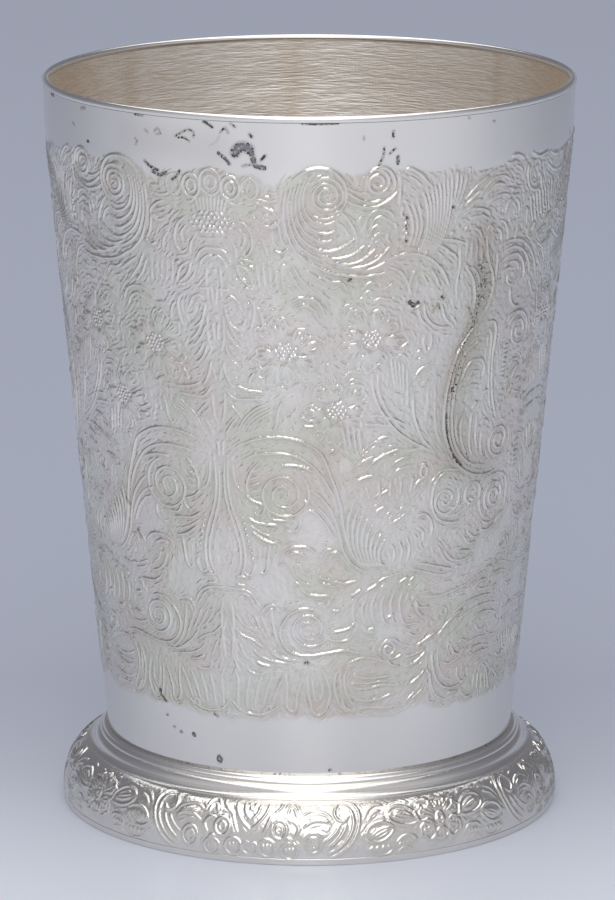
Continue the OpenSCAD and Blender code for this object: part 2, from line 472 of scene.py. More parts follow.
    "middle scroll": """
B -19.6 61.3, -17 62.7, -13 63.8, -8.5 64.3, -4.5 64.2, -0.5 63.3, 2.8 61.8, 5 58.6, 7.2 54.6, \
8.2 51, 9.3 48, 11.3 45.6, 14 44.3, 17.6 43.6
F -16.6 60.2, -13.4 61.4, -9 61.8, -5 61.7, -1.6 61, 1 59.8, 3.6 57.8, 5.6 55.4, 7 52.4
B -7.4 60, -4 60.1, -1 59.7, 1.6 58.9
F@ -6.2 55.6 0.6 4.1 2.4 300
F -11.4 60.7, -13.8 59, -15 57, -14.8 55.3
S*5 -14.6 58.6, -12 59.3 | -14 55, -11.6 55.2
B -15.3 55.5, -14 54.6, -12 54.1, -10.7 53.9
F -10.6 54, -11 52.9, -12.3 52.2, -13.8 52.9
B -15.3 52, -12.5 51.1, -7.3 50.8
F -14.8 50.8, -11.5 49.6, -8.8 49
B -14.3 49.9, -11 48.5, -7.4 47.9
F -10.3 53.2, -9 51.8, -6.9 51.6, -4.6 51.8
S -2.2 52.6, -2.2 51, -3.6 50, -6 49.9
F -2.4 56.9, 0.5 56.3, 3 55, 5.5 52.8, 7 50.2, 8 47.5, 10 45.2, 13 43.8, 16.4 43.2
B -1.6 54.7, 0.6 54.4
S -1.4 54.6, 1 54.2, 3.5 52.8, 5.5 50.9, 6.8 49
S -1.6 53.4, 1.4 52.8, 4 51, 6 48.6
F*8 10.8 54.8, 9.4 51.5, 9.8 48, 12 45, 15 43.9 | 19.8 48.8, 18.2 47.8, 17.3 46.3, 17.8 44.7, 19.8 44
S*3 20.2 47.6, 21.4 46.2, 21 44.4 | 24.4 48.6, 25.4 46.4, 24.6 44.2
S -18.4 60.4, -18.1 58, -17.2 56.4, -15.6 55.6
""",
    "baluster": """
T -19.7 90, -19.4 87, -19.8 85.2
T -19.3 82.4, -19.3 79, -20.1 76.8
T -20.4 87, -21 83.6
T -20.5 81.4, -20.8 78.4
T -20 74.8, -20.8 72.4
T -19.6 71, -19.9 67.6, -20.6 66
T -20.4 63.6, -20.9 60.8
F -19.3 61.6, -19.7 58.6, -19.6 55.8, -18.8 53.2, -17.2 50.3, -16 47, -16.3 43.9, -18.2 42, -19.8 41
S -20.2 60.6, -20.6 57.5, -20.4 55, -19.6 52.6, -18.2 49.8, -17.1 46.8, -17.4 44.2, -18.9 42.7, \
-20.4 42.2
F -16.5 43.4, -15 42.9, -14 43.6, -13.4 45.2
F -12.8 44, -11.5 43.3, -10.4 44.2, -10 46.3, -9.6 48.3
B -18.7 42.7, -15.4 42.5
B -18.6 41.5, -16 41.2
B*9 -16.9 52, -15.8 51.6 | -14.2 44.4, -13 44.7
F -21.2 40.7, -18.5 40.7, -15.6 40.4, -13.6 39.4, -12.3 37.7
S -17.6 40.3, -15.2 39.5, -13.3 37.6
F -12.2 36.7, -11.3 38, -9.5 38.5, -7.8 38.3
S -11.3 36.4, -10.5 37.4, -9.2 37.9
S -20.4 39.4, -19.6 36.4, -19.8 33, -20.4 29
S*4 -20.6 35.4, -18.6 30.6 | -19.8 28.4, -18.4 25.6
""",
    "leaves beside the column": """
S -18.4 87.6, -17.6 86.8, -16.4 86.6
F -18.8 84.6, -17.4 85.2, -15.9 84.6, -14.9 83
F -19 83.9, -18.2 81.8, -16.8 80.6, -15.1 80.2
F -19 81, -18 79.3, -16.5 78, -15 77.3
S -18.4 81.8, -17.2 80, -15.8 78.8, -14.6 78.2
F -19.2 78, -18.1 76.2, -16.8 75.2, -15.5 74.8
S -18.4 78.4, -17.2 76.8, -15.6 75.8
F -19.8 75.6, -19.3 73.8, -18.2 72.2, -17 71.5
F -19.9 71.9, -18.4 70.5, -17 69.9, -14 69.9, -10 70.1
B -17.1 72, -13.6 71.2, -10 71.1
F -12.4 76.5, -13.4 75.7, -12.9 74.9
B -12.6 74.5, -10.2 74.7
F -12.4 74, -13.4 73.2, -13.8 72.1
S*4 -16.7 65.1, -14.8 67.2, -12 68.7, -9.4 69.3 | -14.4 65.2, -12.6 66.6, -10.2 67.6, -8.4 68.3
F -9.9 65.9, -8.6 65.3, -7.6 66.4, -7.2 68, -6.4 69.8
F -18.4 69, -16.4 67.7, -15.6 67
S -19.8 64.2, -18.2 66, -16.8 67
S -14.6 84.8, -13.2 85, -12.1 83.6, -12.6 81.5, -13.4 80
S -11.8 84, -10.6 83, -10.2 81
""",
    "flowers": """
W -5.5 77.2 5.5 8 8
W 14 79 5.3 8 30
W 6.3 68.3 5.0 8 0
F -4.7 84.4, -2.5 85.3, 0 85.3, 2.2 84.5, 3.6 82.6
S -3.6 83.4, -1.2 84.2, 1 83.6, 2.4 81.8
F 11.5 86.4, 13 87.4, 14.8 87.4
S 11.6 85.6, 13 86.2, 14.4 86
F 14 84.5, 15.8 85.1, 17.6 84.8
S 16.4 86.4, 18.6 87.2
S 18.4 85.2, 20 84.8
B 20.6 77.3, 22.6 78.1
B 24.6 76.3, 26 77
S 19.6 76, 21.4 76.4, 22.4 75.6
F 7.4 73.2, 9.5 74.2, 12.2 74
S 8 72.2, 9.8 73, 12.4 72.8
B -2.4 67.6, 0 66.9, 1.4 66.9
B -1.6 66, 1.6 66
S 1 65.2, 2.8 65.3
B 4.5 61.9, 6 62.6
S 2.6 63.6, 3.4 65, 5 66
F*4 7.4 66.4, 8.6 62.6 | 11.4 66, 12.2 62
S 4.6 74.4, 5.8 73.2, 5.4 71.6
""",
    "spray": """
B 15.7 63.6, 17.5 64, 19.8 64.2
B 13.8 59.6, 16.5 60.9, 19.5 61.7, 22.6 62.1
S 18.4 62.4, 21 62.9
B 20 59.8, 22.5 60.6, 25.2 60.7
B 10.8 57.3, 13 58, 15.7 58.3
F 15.2 55, 17.5 55.4, 19.8 56.1
F 15.5 52.1, 17 53, 18.8 53.3
S 20.2 58.4, 22.5 59.1, 25 59.2
B 27.2 59.2, 29 59.5
S 23.5 61.5, 27 61.8, 30.5 61.2
F 14.2 74.5, 14.6 71.5, 16 68.9, 18.5 66.4, 21.5 64.4, 25 62.9, 29 61.6, 32 60.6
S 15.6 74, 16 71, 17.8 68.4, 20.5 66, 23.5 64.4
F 13.5 67.4, 16.5 67.3, 20 66.6, 23.4 65.4
S 12.5 66.2, 16 66, 19.5 65.6
S 24.4 70.6, 24.8 67.5, 26 65, 28 62.8, 31 61
T 30 72.4, 30.3 68, 31 64.5, 33 61.4
T 22.6 74.4, 23 71, 23.2 68.2
B 24.4 72.5, 26 73.9, 28.6 74.5
F 26.4 71.4, 28.2 72.4
S 12 61.6, 14.6 63.2, 17.6 63.4
S 10.6 59.4, 13 60.6, 16 61.4
S 19.6 50.6, 22 51.2, 24.4 52.4
S0 28.3 58.2 0.9 0.8
S*5 13.6 56.8, 14.6 54.4 | 25.4 57.8, 24.8 55
S 25.4 55.4, 27 56.8, 29.4 57.4
S*4 18.6 76, 20 71 | 21.6 75.4, 22 70.4
""",
    "lower leaf": """
F -7 45.7, -5.8 47, -3 47.6, 0 47.4, 2.6 46
B -5.3 46.3, -3 46.7, -0.5 46
F -4.8 45.2, -3.5 43.2, -1.2 42, 1.6 41.6
S -2.6 45.2, -1.6 43.8, 0.4 43
B -2.3 41.1, 0 40.2, 2.5 40, 5.6 40
S -3.8 41.4, -3 42, -2 41.6
F 2.7 45.9, 4 47.1, 6 47.3
F 4.8 45, 5.5 46.4, 7.2 46.7, 8.8 45.4, 10.5 44
S 2.2 43, 5.8 42.2
S 3 42, 6.8 41.3
S 5.5 42.3, 9 41.9, 12.6 42.3
B 10.3 39.8, 13.3 40.9
B 13.9 40.3, 17.6 41.6
S 16 41.4, 20 42.5, 24 43
B 22.8 41.3, 25.4 42.2
F 25.5 41.3, 27.4 42.2
B 19.9 36, 22 36.6
B 14.7 34.4, 17 34.6
S*6 12.5 40, 11 38.2, 11.3 36.2, 12.6 35 | 24.3 40.6, 23.3 38, 24.5 35.3, 26.4 34.8
F 13.7 35.4, 14.6 34.2, 17.4 34
F 24 35.3, 26 34.7, 29.4 34.8
F 4.7 38.2, 5.2 39.5, 6.8 39.7
B 5.6 37.7, 8 37.6
F 4 33.6, 6.5 33, 9.5 33, 11.3 34, 12.2 35.6
B 5.5 34.3, 8 34.5, 10.3 34.9, 11.6 35.8
""",
    "lower scroll": """
B 3.6 36.4, 1.5 37.7, -1.5 38, -4.6 37.2, -6.8 35.6, -7.4 33.9, -6.2 32.1, -3.8 31, 0 30.7, \
5 31.1, 9 31.4, 12.5 31, 16.4 30.2
F@ 0 34.8 0.8 2.9 1.9 20
F -9.6 38, -9.2 35.5, -8.3 33, -6.4 31.2, -3.6 30.1
F -20 35.2, -17.5 33.6, -14.3 32.8, -11.4 31.5
F -13.2 34, -11 32.2, -8 30.8, -5 30.1, -1.4 29.9
B -10 31.1, -7.5 30.3, -4.8 30
F -15.3 32, -13 30.6, -10.5 29.9, -8 29.6, -5 29.4
B -14.1 29.7, -12 29.1, -9.8 28.9
S -16.6 29.3, -15.8 28, -14 27.6, -11 27.8
S*5 -19.6 37.4, -17 35.2, -14.6 34.4 | -12.4 37, -10.8 34.6, -9.4 32.8
S -18.4 32.6, -16.8 30.4, -15.8 29.6
""",
    "fans along the bottom": """
S*5 -6.4 27.8, -8.6 25, -10 22.4 | -18.6 27.2, -19 24.4, -19.2 21.6
F -6.2 28.4, -5.8 25.4, -5.9 22.8, -4.6 21.9, -3.4 22.6, -3.2 24.4, -1.2 28
F -0.4 28, -0.2 24.8, 0.8 22.2, 2.6 21.3, 4.6 22.4, 5.4 25, 3.4 28.6
S 0.6 27.4, 1.2 24.6, 2 23.4, 3.4 24.6, 3 27
F -18.6 21.5, -14 21.2, -10 22, -6.6 23.4
S -12.2 21.6, -11.2 22.6, -9.8 22.3
F -21.2 23.4, -19.6 22.2, -18 21.4
S -21.2 21.2, -19.4 20.8
F 9.5 29.2, 13 30, 17 29.9, 21.4 28.7
F 11 29.6, 9.3 27.5, 9.3 25.5, 10.5 23.9, 12.4 22.3
F 9.5 29.8, 7.2 28, 6.6 25.8, 7.5 23.6, 9.5 22.1, 12.8 21.7
S 8.2 29, 8 26.5, 8.7 24.2
F 10.4 27.8, 14 27, 18 26.8, 22.4 27
F 10.4 26.2, 16 26.1, 21.6 26.3
S 11.4 25.4, 15 25.2, 20 25.6, 25.2 25.2
F 10 24.6, 13 23.6, 17 23.3, 21 23.8, 25.4 24.9
S 12.6 22.4, 17 22.2, 21 22, 26 22.2
B 8.6 23.6, 9.6 22.5, 11 21.9
F@ 20.8 31.1 0.4 1.4 1.6 0
S 18 30.8, 19.5 32.3, 22 32.6, 25 31.5, 28.4 31.2
F 20.4 29.6, 22 28.6, 24.4 28.2
F 20.6 30, 22.5 29.6, 25 30.1
F 26.2 33.4, 28 32.8, 30.4 32.8
B 28.8 31.2, 31.5 31.9, 34.8 33
B 25.4 29.6, 28 29.8, 31.6 30.5
B 25.4 28.1, 28 28.4, 30.5 29.4, 31.9 30.1
B 27.3 25.1, 29.5 26, 31.8 27.2
F 26.6 22.6, 29.2 24.1
S 28 22.7, 31.8 24.3
F 32.4 27.1, 34 25.9
B 33.7 30.6, 34 28, 35 26, 37 24.4, 40 23.5, 44 23.6, 46.6 24.3
F 33 27, 34.3 24.3, 36.2 22.6, 39.7 21.6
S 33.2 25, 35 22.6, 38 21.4
S 35.4 29.6, 36.3 27, 38.5 25.2, 41.6 24.6
B 39.8 22.7, 43.7 22.7
F 37.4 27.9, 39.5 27.4, 42.5 27.9, 44.7 28.7
B 40 30.1, 41 29, 43 28.6, 45.2 29.5
F 42.6 30.3, 44 30.7, 46.2 30
F 42.6 26.9, 43 25, 44.5 24.1, 46.4 24.3
""",
    "curls at the lower right": """
F@ 35 53.3 0.5 2.6 1.6 180
F 39.2 56, 36.4 57.4, 33.4 57.2, 31.5 55.8, 31 53, 32.5 50.9, 35 49.9, 39 49.6, 43.4 50.5
S 33 51.6, 36 50.7, 40 51, 44.4 52.6
S 35.6 52, 39.5 52, 43 53
B 33.9 53, 35.2 52.5, 36.6 53
F0 43.6 53.6 2.6 1.6
B 42.6 52.8, 44 52.6, 45.2 53.2
S 30 56, 33.4 57.9, 39 57.7
F@ 51.7 52.4 0.5 2.5 2 270
F 47.4 48.9, 50 48.2, 53 48.6, 56.2 49.8
B 52.8 48, 54.4 48.8, 55.8 49.6
F 47 47.5, 50 47.2, 54.2 48
S 48 56.2, 46 54.3, 46.3 51.3, 48 49.5, 51 48.8
S 55.5 55.5, 57 53.2, 56.8 50.7, 55.3 49
F 48.8 55.4, 53 55.7, 57.4 54.2
F 42.4 47.9, 45 46.6, 47.7 46.7
S 41.4 47.2, 43.5 45.8, 46.2 45.8
F 35.4 45.7, 38 43.9, 42 43.4, 46.2 44.1
S 33.4 46.6, 36 44, 40 42.8
F 27 44.1, 31 43.6, 35 42.9, 39.2 42.2
S 25 43.5, 30 42.6, 35 41.7, 40.2 41.6
S 39 45, 41.6 44.8, 45 44.6
F 26.4 51.4, 29.5 51.5, 31.4 49.8, 31.2 47.4
S 27 49.6, 28.8 49, 29.2 47
F 27.8 38.4, 29 37.2, 32.4 37
F 28 38.7, 35 38.5, 40 38.9, 45 39.6, 50 40.6, 55.4 41
F 27.8 37.9, 28.6 36.6, 30.8 35.3
B 35 31.9, 37.5 33.6, 40.5 34.9, 43.7 35.5
S0 36.6 35.9 0.9 0.6
F 38 34.5, 43 36.2, 48 36.8, 53 36.7, 59.4 35.8
S 40 33.3, 45 34.8, 50 35.4, 55 35.2, 60.4 34.2
F 46 33.1, 50 34.1, 55 33.9, 60.2 32.4
S 48 32.5, 50.5 31.4, 53.4 31.8
F 45.5 29.4, 49 30.3, 55 30.1, 60.4 29.6
S 45 28.3, 50 29, 56.4 28.4
F 46 27, 51 28, 56.4 27.7
S 49.6 26, 53 26.7, 56.4 26.2
B 58.8 26.7, 61.5 26.1, 65 27.3
F 52.4 25.8, 54.5 25.2, 56 23.5, 57 21.8, 58.8 21
S 54.8 25.6, 57.5 24.5, 60 23.6, 62.4 22.2
F 44.4 22.6, 47 21.3, 50.4 21.5
S 60.4 23.6, 62.5 22.2, 66.4 21.7
S*4 50 25, 49.5 22 | 54.6 24.4, 55.6 21.4
F 60.6 37.8, 62.4 37.2, 65.2 37.6
F 46 38.2, 49 39.3, 52.4 39.3
S 48.4 38, 53 37.8, 57.8 37.8
F 57.4 44.6, 59.5 45.1, 61.2 43.6
S 57 43, 60 42.8, 63.4 41.5
S 52 40, 56 41.3, 60 41, 64.6 39.8
S 52 38.7, 56 39.9, 60 39.6, 65.4 38.3
F 61 33, 64.6 34, 68.8 34
S 62 31, 65 32, 68.8 32
S*5 62 29.4, 64.6 25.6 | 68.8 30.6, 68.8 24.4
F 64 46, 66 44, 68.8 43.4
F 61 48.6, 64 47.6, 66.6 48.6, 68.8 48.4
S 63 41, 66 40.4, 68.8 40.6
F 65.4 61.6, 66.4 58.6, 68.8 57
S 67 62, 67.6 60, 68.8 59.4
""",
}


# The foot band's motifs: degrees round the cup, and millimetres along the foot's profile, counted
# from the top of the collar, so that 6.1 is the band's upper edge and 16 its lower one.
BAND_MOTIFS = """
B 7.5 6.5, 10 6.9, 11.6 8.5, 11.2 11, 9.2 13.4, 6.2 14.9, 3.4 15.4
B 7.2 7.3, 9.3 7.8, 10.2 9.2, 9.8 11.2, 8 13, 5.8 14.2, 3.4 14.7
B 7 6.9, 5.9 8.4, 6.6 9.6, 8.2 9.8, 9 8.9
B 8.6 10.2, 7.5 11.7, 5.6 13.1, 3.8 13.9
F 7.1 10.3, 6 11.4, 4.4 12.4, 2.8 12.9
F 5.6 9.6, 3.6 8.5, 0.6 8.2, -2 9.1
F 5.4 10.3, 3.2 9.8, 0.6 9.9, -1.6 10.8
P 0.6 0.07 4.4 9.6, 2 9.2, -0.8 9.6
P 0.85 0.08 1 13, 1.1 13
P 0.8 0.12 -6.8 11.1, -6.7 11.1
P 0.95 0.08 -9.6 13.9, -9.5 13.9
P 0.95 0.08 -4.5 14.2, -4.4 14.2
P 1.0 0.10 13.6 12, 16 11.8, 18.6 11.5
P 1.0 0.10 19.4 9.3, 22 9.6, 25 10.4
P 0.7 0.08 13.6 14.1, 16.4 14.2, 19 13.9
P 0.7 0.08 20.6 14, 24 13.4
P 0.75 0.09 30.3 8.7, 29.3 7.9
P 0.75 0.09 29 11, 27.5 11.2
P 0.75 0.09 30 13, 29 14.2
P 0.8 0.12 31.2 10.8, 31.3 10.8
S*3 4.6 9.5, 2.4 9, -0.4 9.2 | 4.4 10.1, 2.4 9.5, 0 9.9
F0 1 13 1.9 1.5
S0 1 13 1 0.8
F -2 8.7, -2.9 7.2, -4.4 6.8, -5.7 8.1
F -2.7 9.4, -3.4 8, -4.4 7.7, -5.1 8.9
B0 -6.8 11.1 1.7 1.35
F0 -6.8 11.1 0.8 0.65
F -3.4 12.4, -2.4 10.9, -3.8 9.8, -5.2 9.9
F -3.6 13, -4.6 12.4, -5.2 12.9
F0 -9.6 13.9 1.9 1.3
S*3 -10.6 13.1, -10.2 14.7 | -8.6 13.1, -9 14.7
F0 -4.5 14.2 1.9 1.2
S*3 -5.4 13.6, -5.2 14.9 | -3.6 13.6, -3.8 14.9
F -13.5 13, -12 13.4, -11.9 14.5, -13.5 15.1
F -13.5 11.2, -11.6 10.2, -10 8.6, -9.4 6.9
F -13.5 9.8, -12.1 8.8, -11.4 7.1
S -13.5 8.5, -12.9 7.6, -12.7 6.9
F -10.6 12, -9.6 10.4, -8.8 9
S -9.9 12.2, -9 10.8, -8.3 9.4
F -8 8.6, -6.6 7.6, -6.4 6.7
B 12.4 12.5, 13.7 11, 15.8 10.3, 18.2 10.5, 19.8 11.2
B 12.4 12.5, 14.1 13.1, 16.6 13.1, 18.6 12.3, 19.8 11.2
S*3 14 12.3, 16.2 11.4, 18.8 11.2 | 15 12.7, 17 12.3, 18.6 11.6
B 18.2 9.2, 19.2 10.3, 21.6 11, 24.2 11.1, 26.2 10.8
B 18.2 9.2, 19.8 8.3, 22.2 8.1, 24.8 9.1, 26.2 10.8
S*3 19.6 9.6, 22 10.2, 24.6 10.4 | 20.4 8.9, 22.4 9, 24.6 9.9
F 12.8 13.9, 14.8 15, 17.6 15.2, 19.6 14.3
F 19.8 13.7, 21.6 12.7, 24 12.7, 25.4 13.9
F 20 15.2, 22 14.3, 24.6 14.9
S*4 13.6 14.4, 14.6 13.7 | 18 14.6, 18.2 13.6
S*4 20.6 14.2, 21 13.3 | 24 14, 23.6 13.2
F 12.8 9.4, 14.2 8.2, 16 7.6, 18 7.7
F 13.6 10, 15 8.9, 17 8.4
B0 31.5 10.8 0.9 0.9
F0 31.5 10.8 0.5 0.45
R 31.5 10.8 3.9 6 90
"""


def track(text):
    """Points 'angle height' with commas between, as an array."""
    return np.array([[float(v) for v in p.split()] for p in text.split(",")])


# Rough length in millimetres of one degree round the cup and of one millimetre of height, distance
# between the points of a line, and a full turn in radii
STEP_LENGTHS = [0.62, 1.0]
PITCH = 0.3
FULL_TURN = 6.3
# Height from which a point counts as part of a line, and that at which a fill line stops
LINE_EDGE = 0.03
FILL_STOP = 0.035


def smooth_curve(points):
    """Catmull-Rom curve: each span is the cubic through its two ends whose slopes are half the step
    between their neighbours, sampled about every 0.3 mm. Two points make a straight line."""
    if len(points) < 3:
        run = points[1] - points[0]
        count = max(2, int(np.hypot(*(run * STEP_LENGTHS)) / PITCH) + 1)
        return points[0] + run * np.linspace(0.0, 1.0, count)[:, None]
    p = np.concatenate([2 * points[:1] - points[1:2], points, 2 * points[-1:] - points[-2:-1]])
    parts = []
    for a, b, c, d in zip(p[:-3], p[1:-2], p[2:-1], p[3:]):
        count = max(2, int(np.hypot(*((c - b) * STEP_LENGTHS)) / PITCH) + 1)
        t = np.linspace(0.0, 1.0, count, endpoint=False)[:, None]
        parts.append(0.5 * (2 * b + (c - a) * t + (2 * a - 5 * b + 4 * c - d) * t ** 2
                            + (3 * b - a - 3 * c + d) * t ** 3))
    return np.concatenate([*parts, points[-1:]])


def blur(grid, times):
    """Each point averaged with its four neighbours, repeated; edges repeat their own value."""
    for _ in range(times):
        g = np.pad(grid, 1, mode="edge")
        grid = (2.0 * grid + g[:-2, 1:-1] + g[2:, 1:-1] + g[1:-1, :-2] + g[1:-1, 2:]) / 6.0
    return grid


# Outline of a petal: length in shares of its radius, place across it in shares of its turn
PETAL_RIM = [(0.44, -0.20), (0.60, -0.40), (0.80, -0.43), (0.95, -0.27), (0.90, -0.10),
             (1.02, 0.03), (0.93, 0.22), (0.84, 0.40), (0.62, 0.38), (0.44, 0.20)]
# Steps of a line that are stamped at one time, and the run of a bead, which is a very short line
PART = 16
DOT = [0.02, 0.0]
# Distance between rows of beads, and their stray, in shares of their pitch
BEAD_ROWS, BEAD_STRAY = 0.87, 0.13
# How far petals lean, in shares of their turn, and how much their lengths differ, in shares of the
# flower's radius; height of the swelling under a petal, and its half width in the same shares
PETAL_LEAN, PETAL_STRAY = 0.16, 0.13
PETAL_RISE, PETAL_WIDE = 0.16, 0.30
# Share of lines around a place from which fill lines start there
NEAR_LINES = 0.03
# Length in millimetres from which a fill line is kept, and the shares of its kind's height between
# which it is stamped
SHORTEST_FILL = 1.0
FILL_HEIGHTS = (0.35, 0.9)
# Lines on a petal: place across it in shares of its turn, and length in shares of its radius
PETAL_LINES = [(-0.28, 0.72), (-0.14, 0.86), (0.0, 0.78), (0.13, 0.9), (0.27, 0.7)]


class Relief:
    """Height of the ornament over a grid of angles (degrees) and rows, in millimetres. A row is a
    height on the wall or a length along the foot's profile, and radius holds its distance from the
    axis."""

    def __init__(self, angles, rows, radius, wider=1.0, higher=1.0):
        self.angles, self.rows, self.radius = angles, rows, radius
        self.lines = {kind: (w * wider, h * higher) for kind, (w, h) in LINES.items()}
        self.height = np.zeros((len(rows), len(angles)))
        self.pillow = np.zeros_like(self.height)
        self.dots = np.zeros_like(self.height)

    def degree_at(self, row):
        """Millimetres to one degree round the cup at a row."""
        return np.radians(1.0) * np.interp(row, self.rows, self.radius)

    def stamp(self, curve, width, height, taper=0.2, grid=None):
        """Raised line along a curve: height times (1 - (distance / width) squared) squared, where
        both fall off towards the ends. Each point keeps the highest line that passes it."""
        grid = self.height if grid is None else grid
        share = np.linspace(0.0, 1.0, len(curve))
        ends = np.ones(len(curve))
        if taper:
            ends = np.minimum(1.0, np.minimum(share, 1.0 - share) / taper)
        ends = ends * (2.0 - ends)
        reach = width * 1.05
        for first in range(0, len(curve) - 1, PART):
            part = curve[first:first + PART + 1]
            e = ends[first:first + PART + 1]
            if len(part) < 2:
                continue
            mid = part[:, 0].mean()
            r_part = np.interp(part[:, 1], self.rows, self.radius)
            per = np.radians(1.0) * r_part.mean()
            r0, r1 = np.searchsorted(self.rows, [part[:, 1].min() - reach,
                                                 part[:, 1].max() + reach])
            c0, c1 = np.searchsorted(self.angles, [part[:, 0].min() - reach / per * 1.1,
                                                   part[:, 0].max() + reach / per * 1.1])
            if r1 <= r0 or c1 <= c0:
                continue
            x = np.radians(self.angles[None, c0:c1] - mid) * self.radius[r0:r1, None]
            y = np.broadcast_to(self.rows[r0:r1, None], x.shape)
            px = np.radians(part[:, 0] - mid) * r_part
            py = part[:, 1]
            ax, ay, bx, by = px[:-1], py[:-1], px[1:], py[1:]
            dx, dy = bx - ax, by - ay
            t = ((x[..., None] - ax) * dx + (y[..., None] - ay) * dy) / (dx * dx + dy * dy + 1e-9)
            t = np.clip(t, 0.0, 1.0)
            gap = (x[..., None] - ax - t * dx) ** 2 + (y[..., None] - ay - t * dy) ** 2
            fall = e[:-1] + (e[1:] - e[:-1]) * t
            w = width * (0.55 + 0.45 * fall)
            q = np.maximum(0.0, 1.0 - gap / (w * w))
            line = (height * fall * (q * q)).max(-1)
            grid[r0:r1, c0:c1] = np.maximum(grid[r0:r1, c0:c1], line)

    def line(self, kind, points, taper=0.2):
        """Smooth line of one kind through a few points."""
        width, height = self.lines[kind]
        self.stamp(smooth_curve(points), width, height, taper)

    def around(self, centre, radius_x, radius_z, turn):
        """Points at a turn (degrees) on an oval round a centre; radii in millimetres."""
        per = self.degree_at(centre[1])
        a = np.radians(turn)
        return np.stack([centre[0] + radius_x * np.cos(a) / per,
                         centre[1] + radius_z * np.sin(a)], -1)

    def spiral(self, kind, centre, first, last, turns, start):
        """Radius grows evenly with the turn from first to last."""
        count = max(24, int(turns * FULL_TURN * last / PITCH))
        s = np.linspace(0.0, 1.0, count)
        r = first + (last - first) * s
        self.stamp(self.around(centre, r, r, start + 360.0 * turns * s), *self.lines[kind], 0.06)

    def ring(self, kind, centre, half_width, half_height):
        """Closed oval; its half width is in degrees, its half height in millimetres."""
        per = self.degree_at(centre[1])
        turn = np.linspace(0.0, 360.0, max(18, int(FULL_TURN * half_height / PITCH)))
        self.stamp(self.around(centre, half_width * per, half_height, turn), *self.lines[kind], 0.0)

    def beads(self, centre, half_x, half_z, pitch, size=0.33, height=0.27):
        """Rows of round beads inside an oval, each half a pitch off the next, with a little stray;
        lengths in millimetres."""
        per = self.degree_at(centre[1])
        rise = pitch * BEAD_ROWS
        rows = int(half_z / rise) + 1
        for i in range(-rows, rows + 1):
            z = i * rise
            room = 1.0 - (z / (half_z + 0.01)) ** 2
            if room <= 0.0:
                continue
            wide = half_x * math.sqrt(room)
            count = int(wide / pitch)
            shift = 0.5 * (i % 2)
            for j in range(-count, count + 1):
                x = (j + shift) * pitch
                if abs(x) <= wide + 0.05:
                    stray = BEAD_STRAY * pitch * np.sin([7.1 * i + 3.3 * j, 5.3 * i + 8.7 * j + 1.0])
                    at = np.array([centre[0] + (x + stray[0]) / per, centre[1] + z + stray[1]])
                    self.stamp(np.stack([at, at + DOT]), size, height, 0.0)
                    # The beads' own mark, which paints a highlight on each bead
                    self.stamp(np.stack([at, at + DOT]), size, 1.0, 0.0, self.dots)

    def flower(self, centre, size, petals, turn, beaded):
        """Ring of petals, with beads in the centre or without. A petal is a notched outline over a
        low swelling, with lines that fan out from the centre; each has its own length and lean."""
        step = 360.0 / petals
        for k in range(petals):
            lean = PETAL_LEAN * math.sin(3.7 * k + centre[0])
            mid = turn + (k + lean) * step
            far = size * (0.93 + PETAL_STRAY * math.sin(2.4 * k + centre[1]))
            outline = np.array([self.around(centre, r * far, r * far, mid + a * step)
                                for r, a in PETAL_RIM])
            self.line("T" if beaded else "B", outline, 0.1)
            level = abs(math.sin(math.radians(mid))) < 0.5
            kind = "F" if level and beaded else "T" if beaded else "S"
            for a, end in PETAL_LINES if beaded else PETAL_LINES[1::2]:
                vein = [self.around(centre, r * far, r * far, mid + a * step * b)
                        for r, b in ((0.34, 0.8), ((0.34 + end) / 2, 1.0), (end, 1.15))]
                self.line(kind, np.array(vein), 0.4)
            self.stamp(np.array([self.around(centre, r * far, r * far, mid)
                                 for r in np.linspace(0.35, 0.8, 8)]), PETAL_WIDE * size,
                       PETAL_RISE, 0.3, self.pillow)
        if beaded:
            self.beads(centre, 0.29 * size, 0.26 * size, 0.6)

    def cell(self, place):
        """Row and column of a place, which is an angle and a row's height."""
        return (min(int(np.searchsorted(self.rows, place[1])), len(self.rows) - 1),
                min(int(np.searchsorted(self.angles, place[0])), len(self.angles) - 1))

    def flow(self, reach):
        """Direction that the drawn lines take near each point: the slopes' products averaged over
        a reach in millimetres, and half the angle of their main axis, turned by a right angle."""
        dz = np.gradient(self.rows)[:, None]
        dx = np.radians(np.gradient(self.angles))[None, :] * self.radius[:, None]
        gz = np.gradient(self.height, axis=0) / dz
        gx = np.gradient(self.height, axis=1) / dx
        times = int((reach / dz[len(dz) // 2, 0]) ** 2 / 2)
        xx, zz, xz = (blur(g, times) for g in (gx * gx, gz * gz, gx * gz))
        return 0.5 * np.arctan2(2 * xz, xx - zz) + np.pi / 2

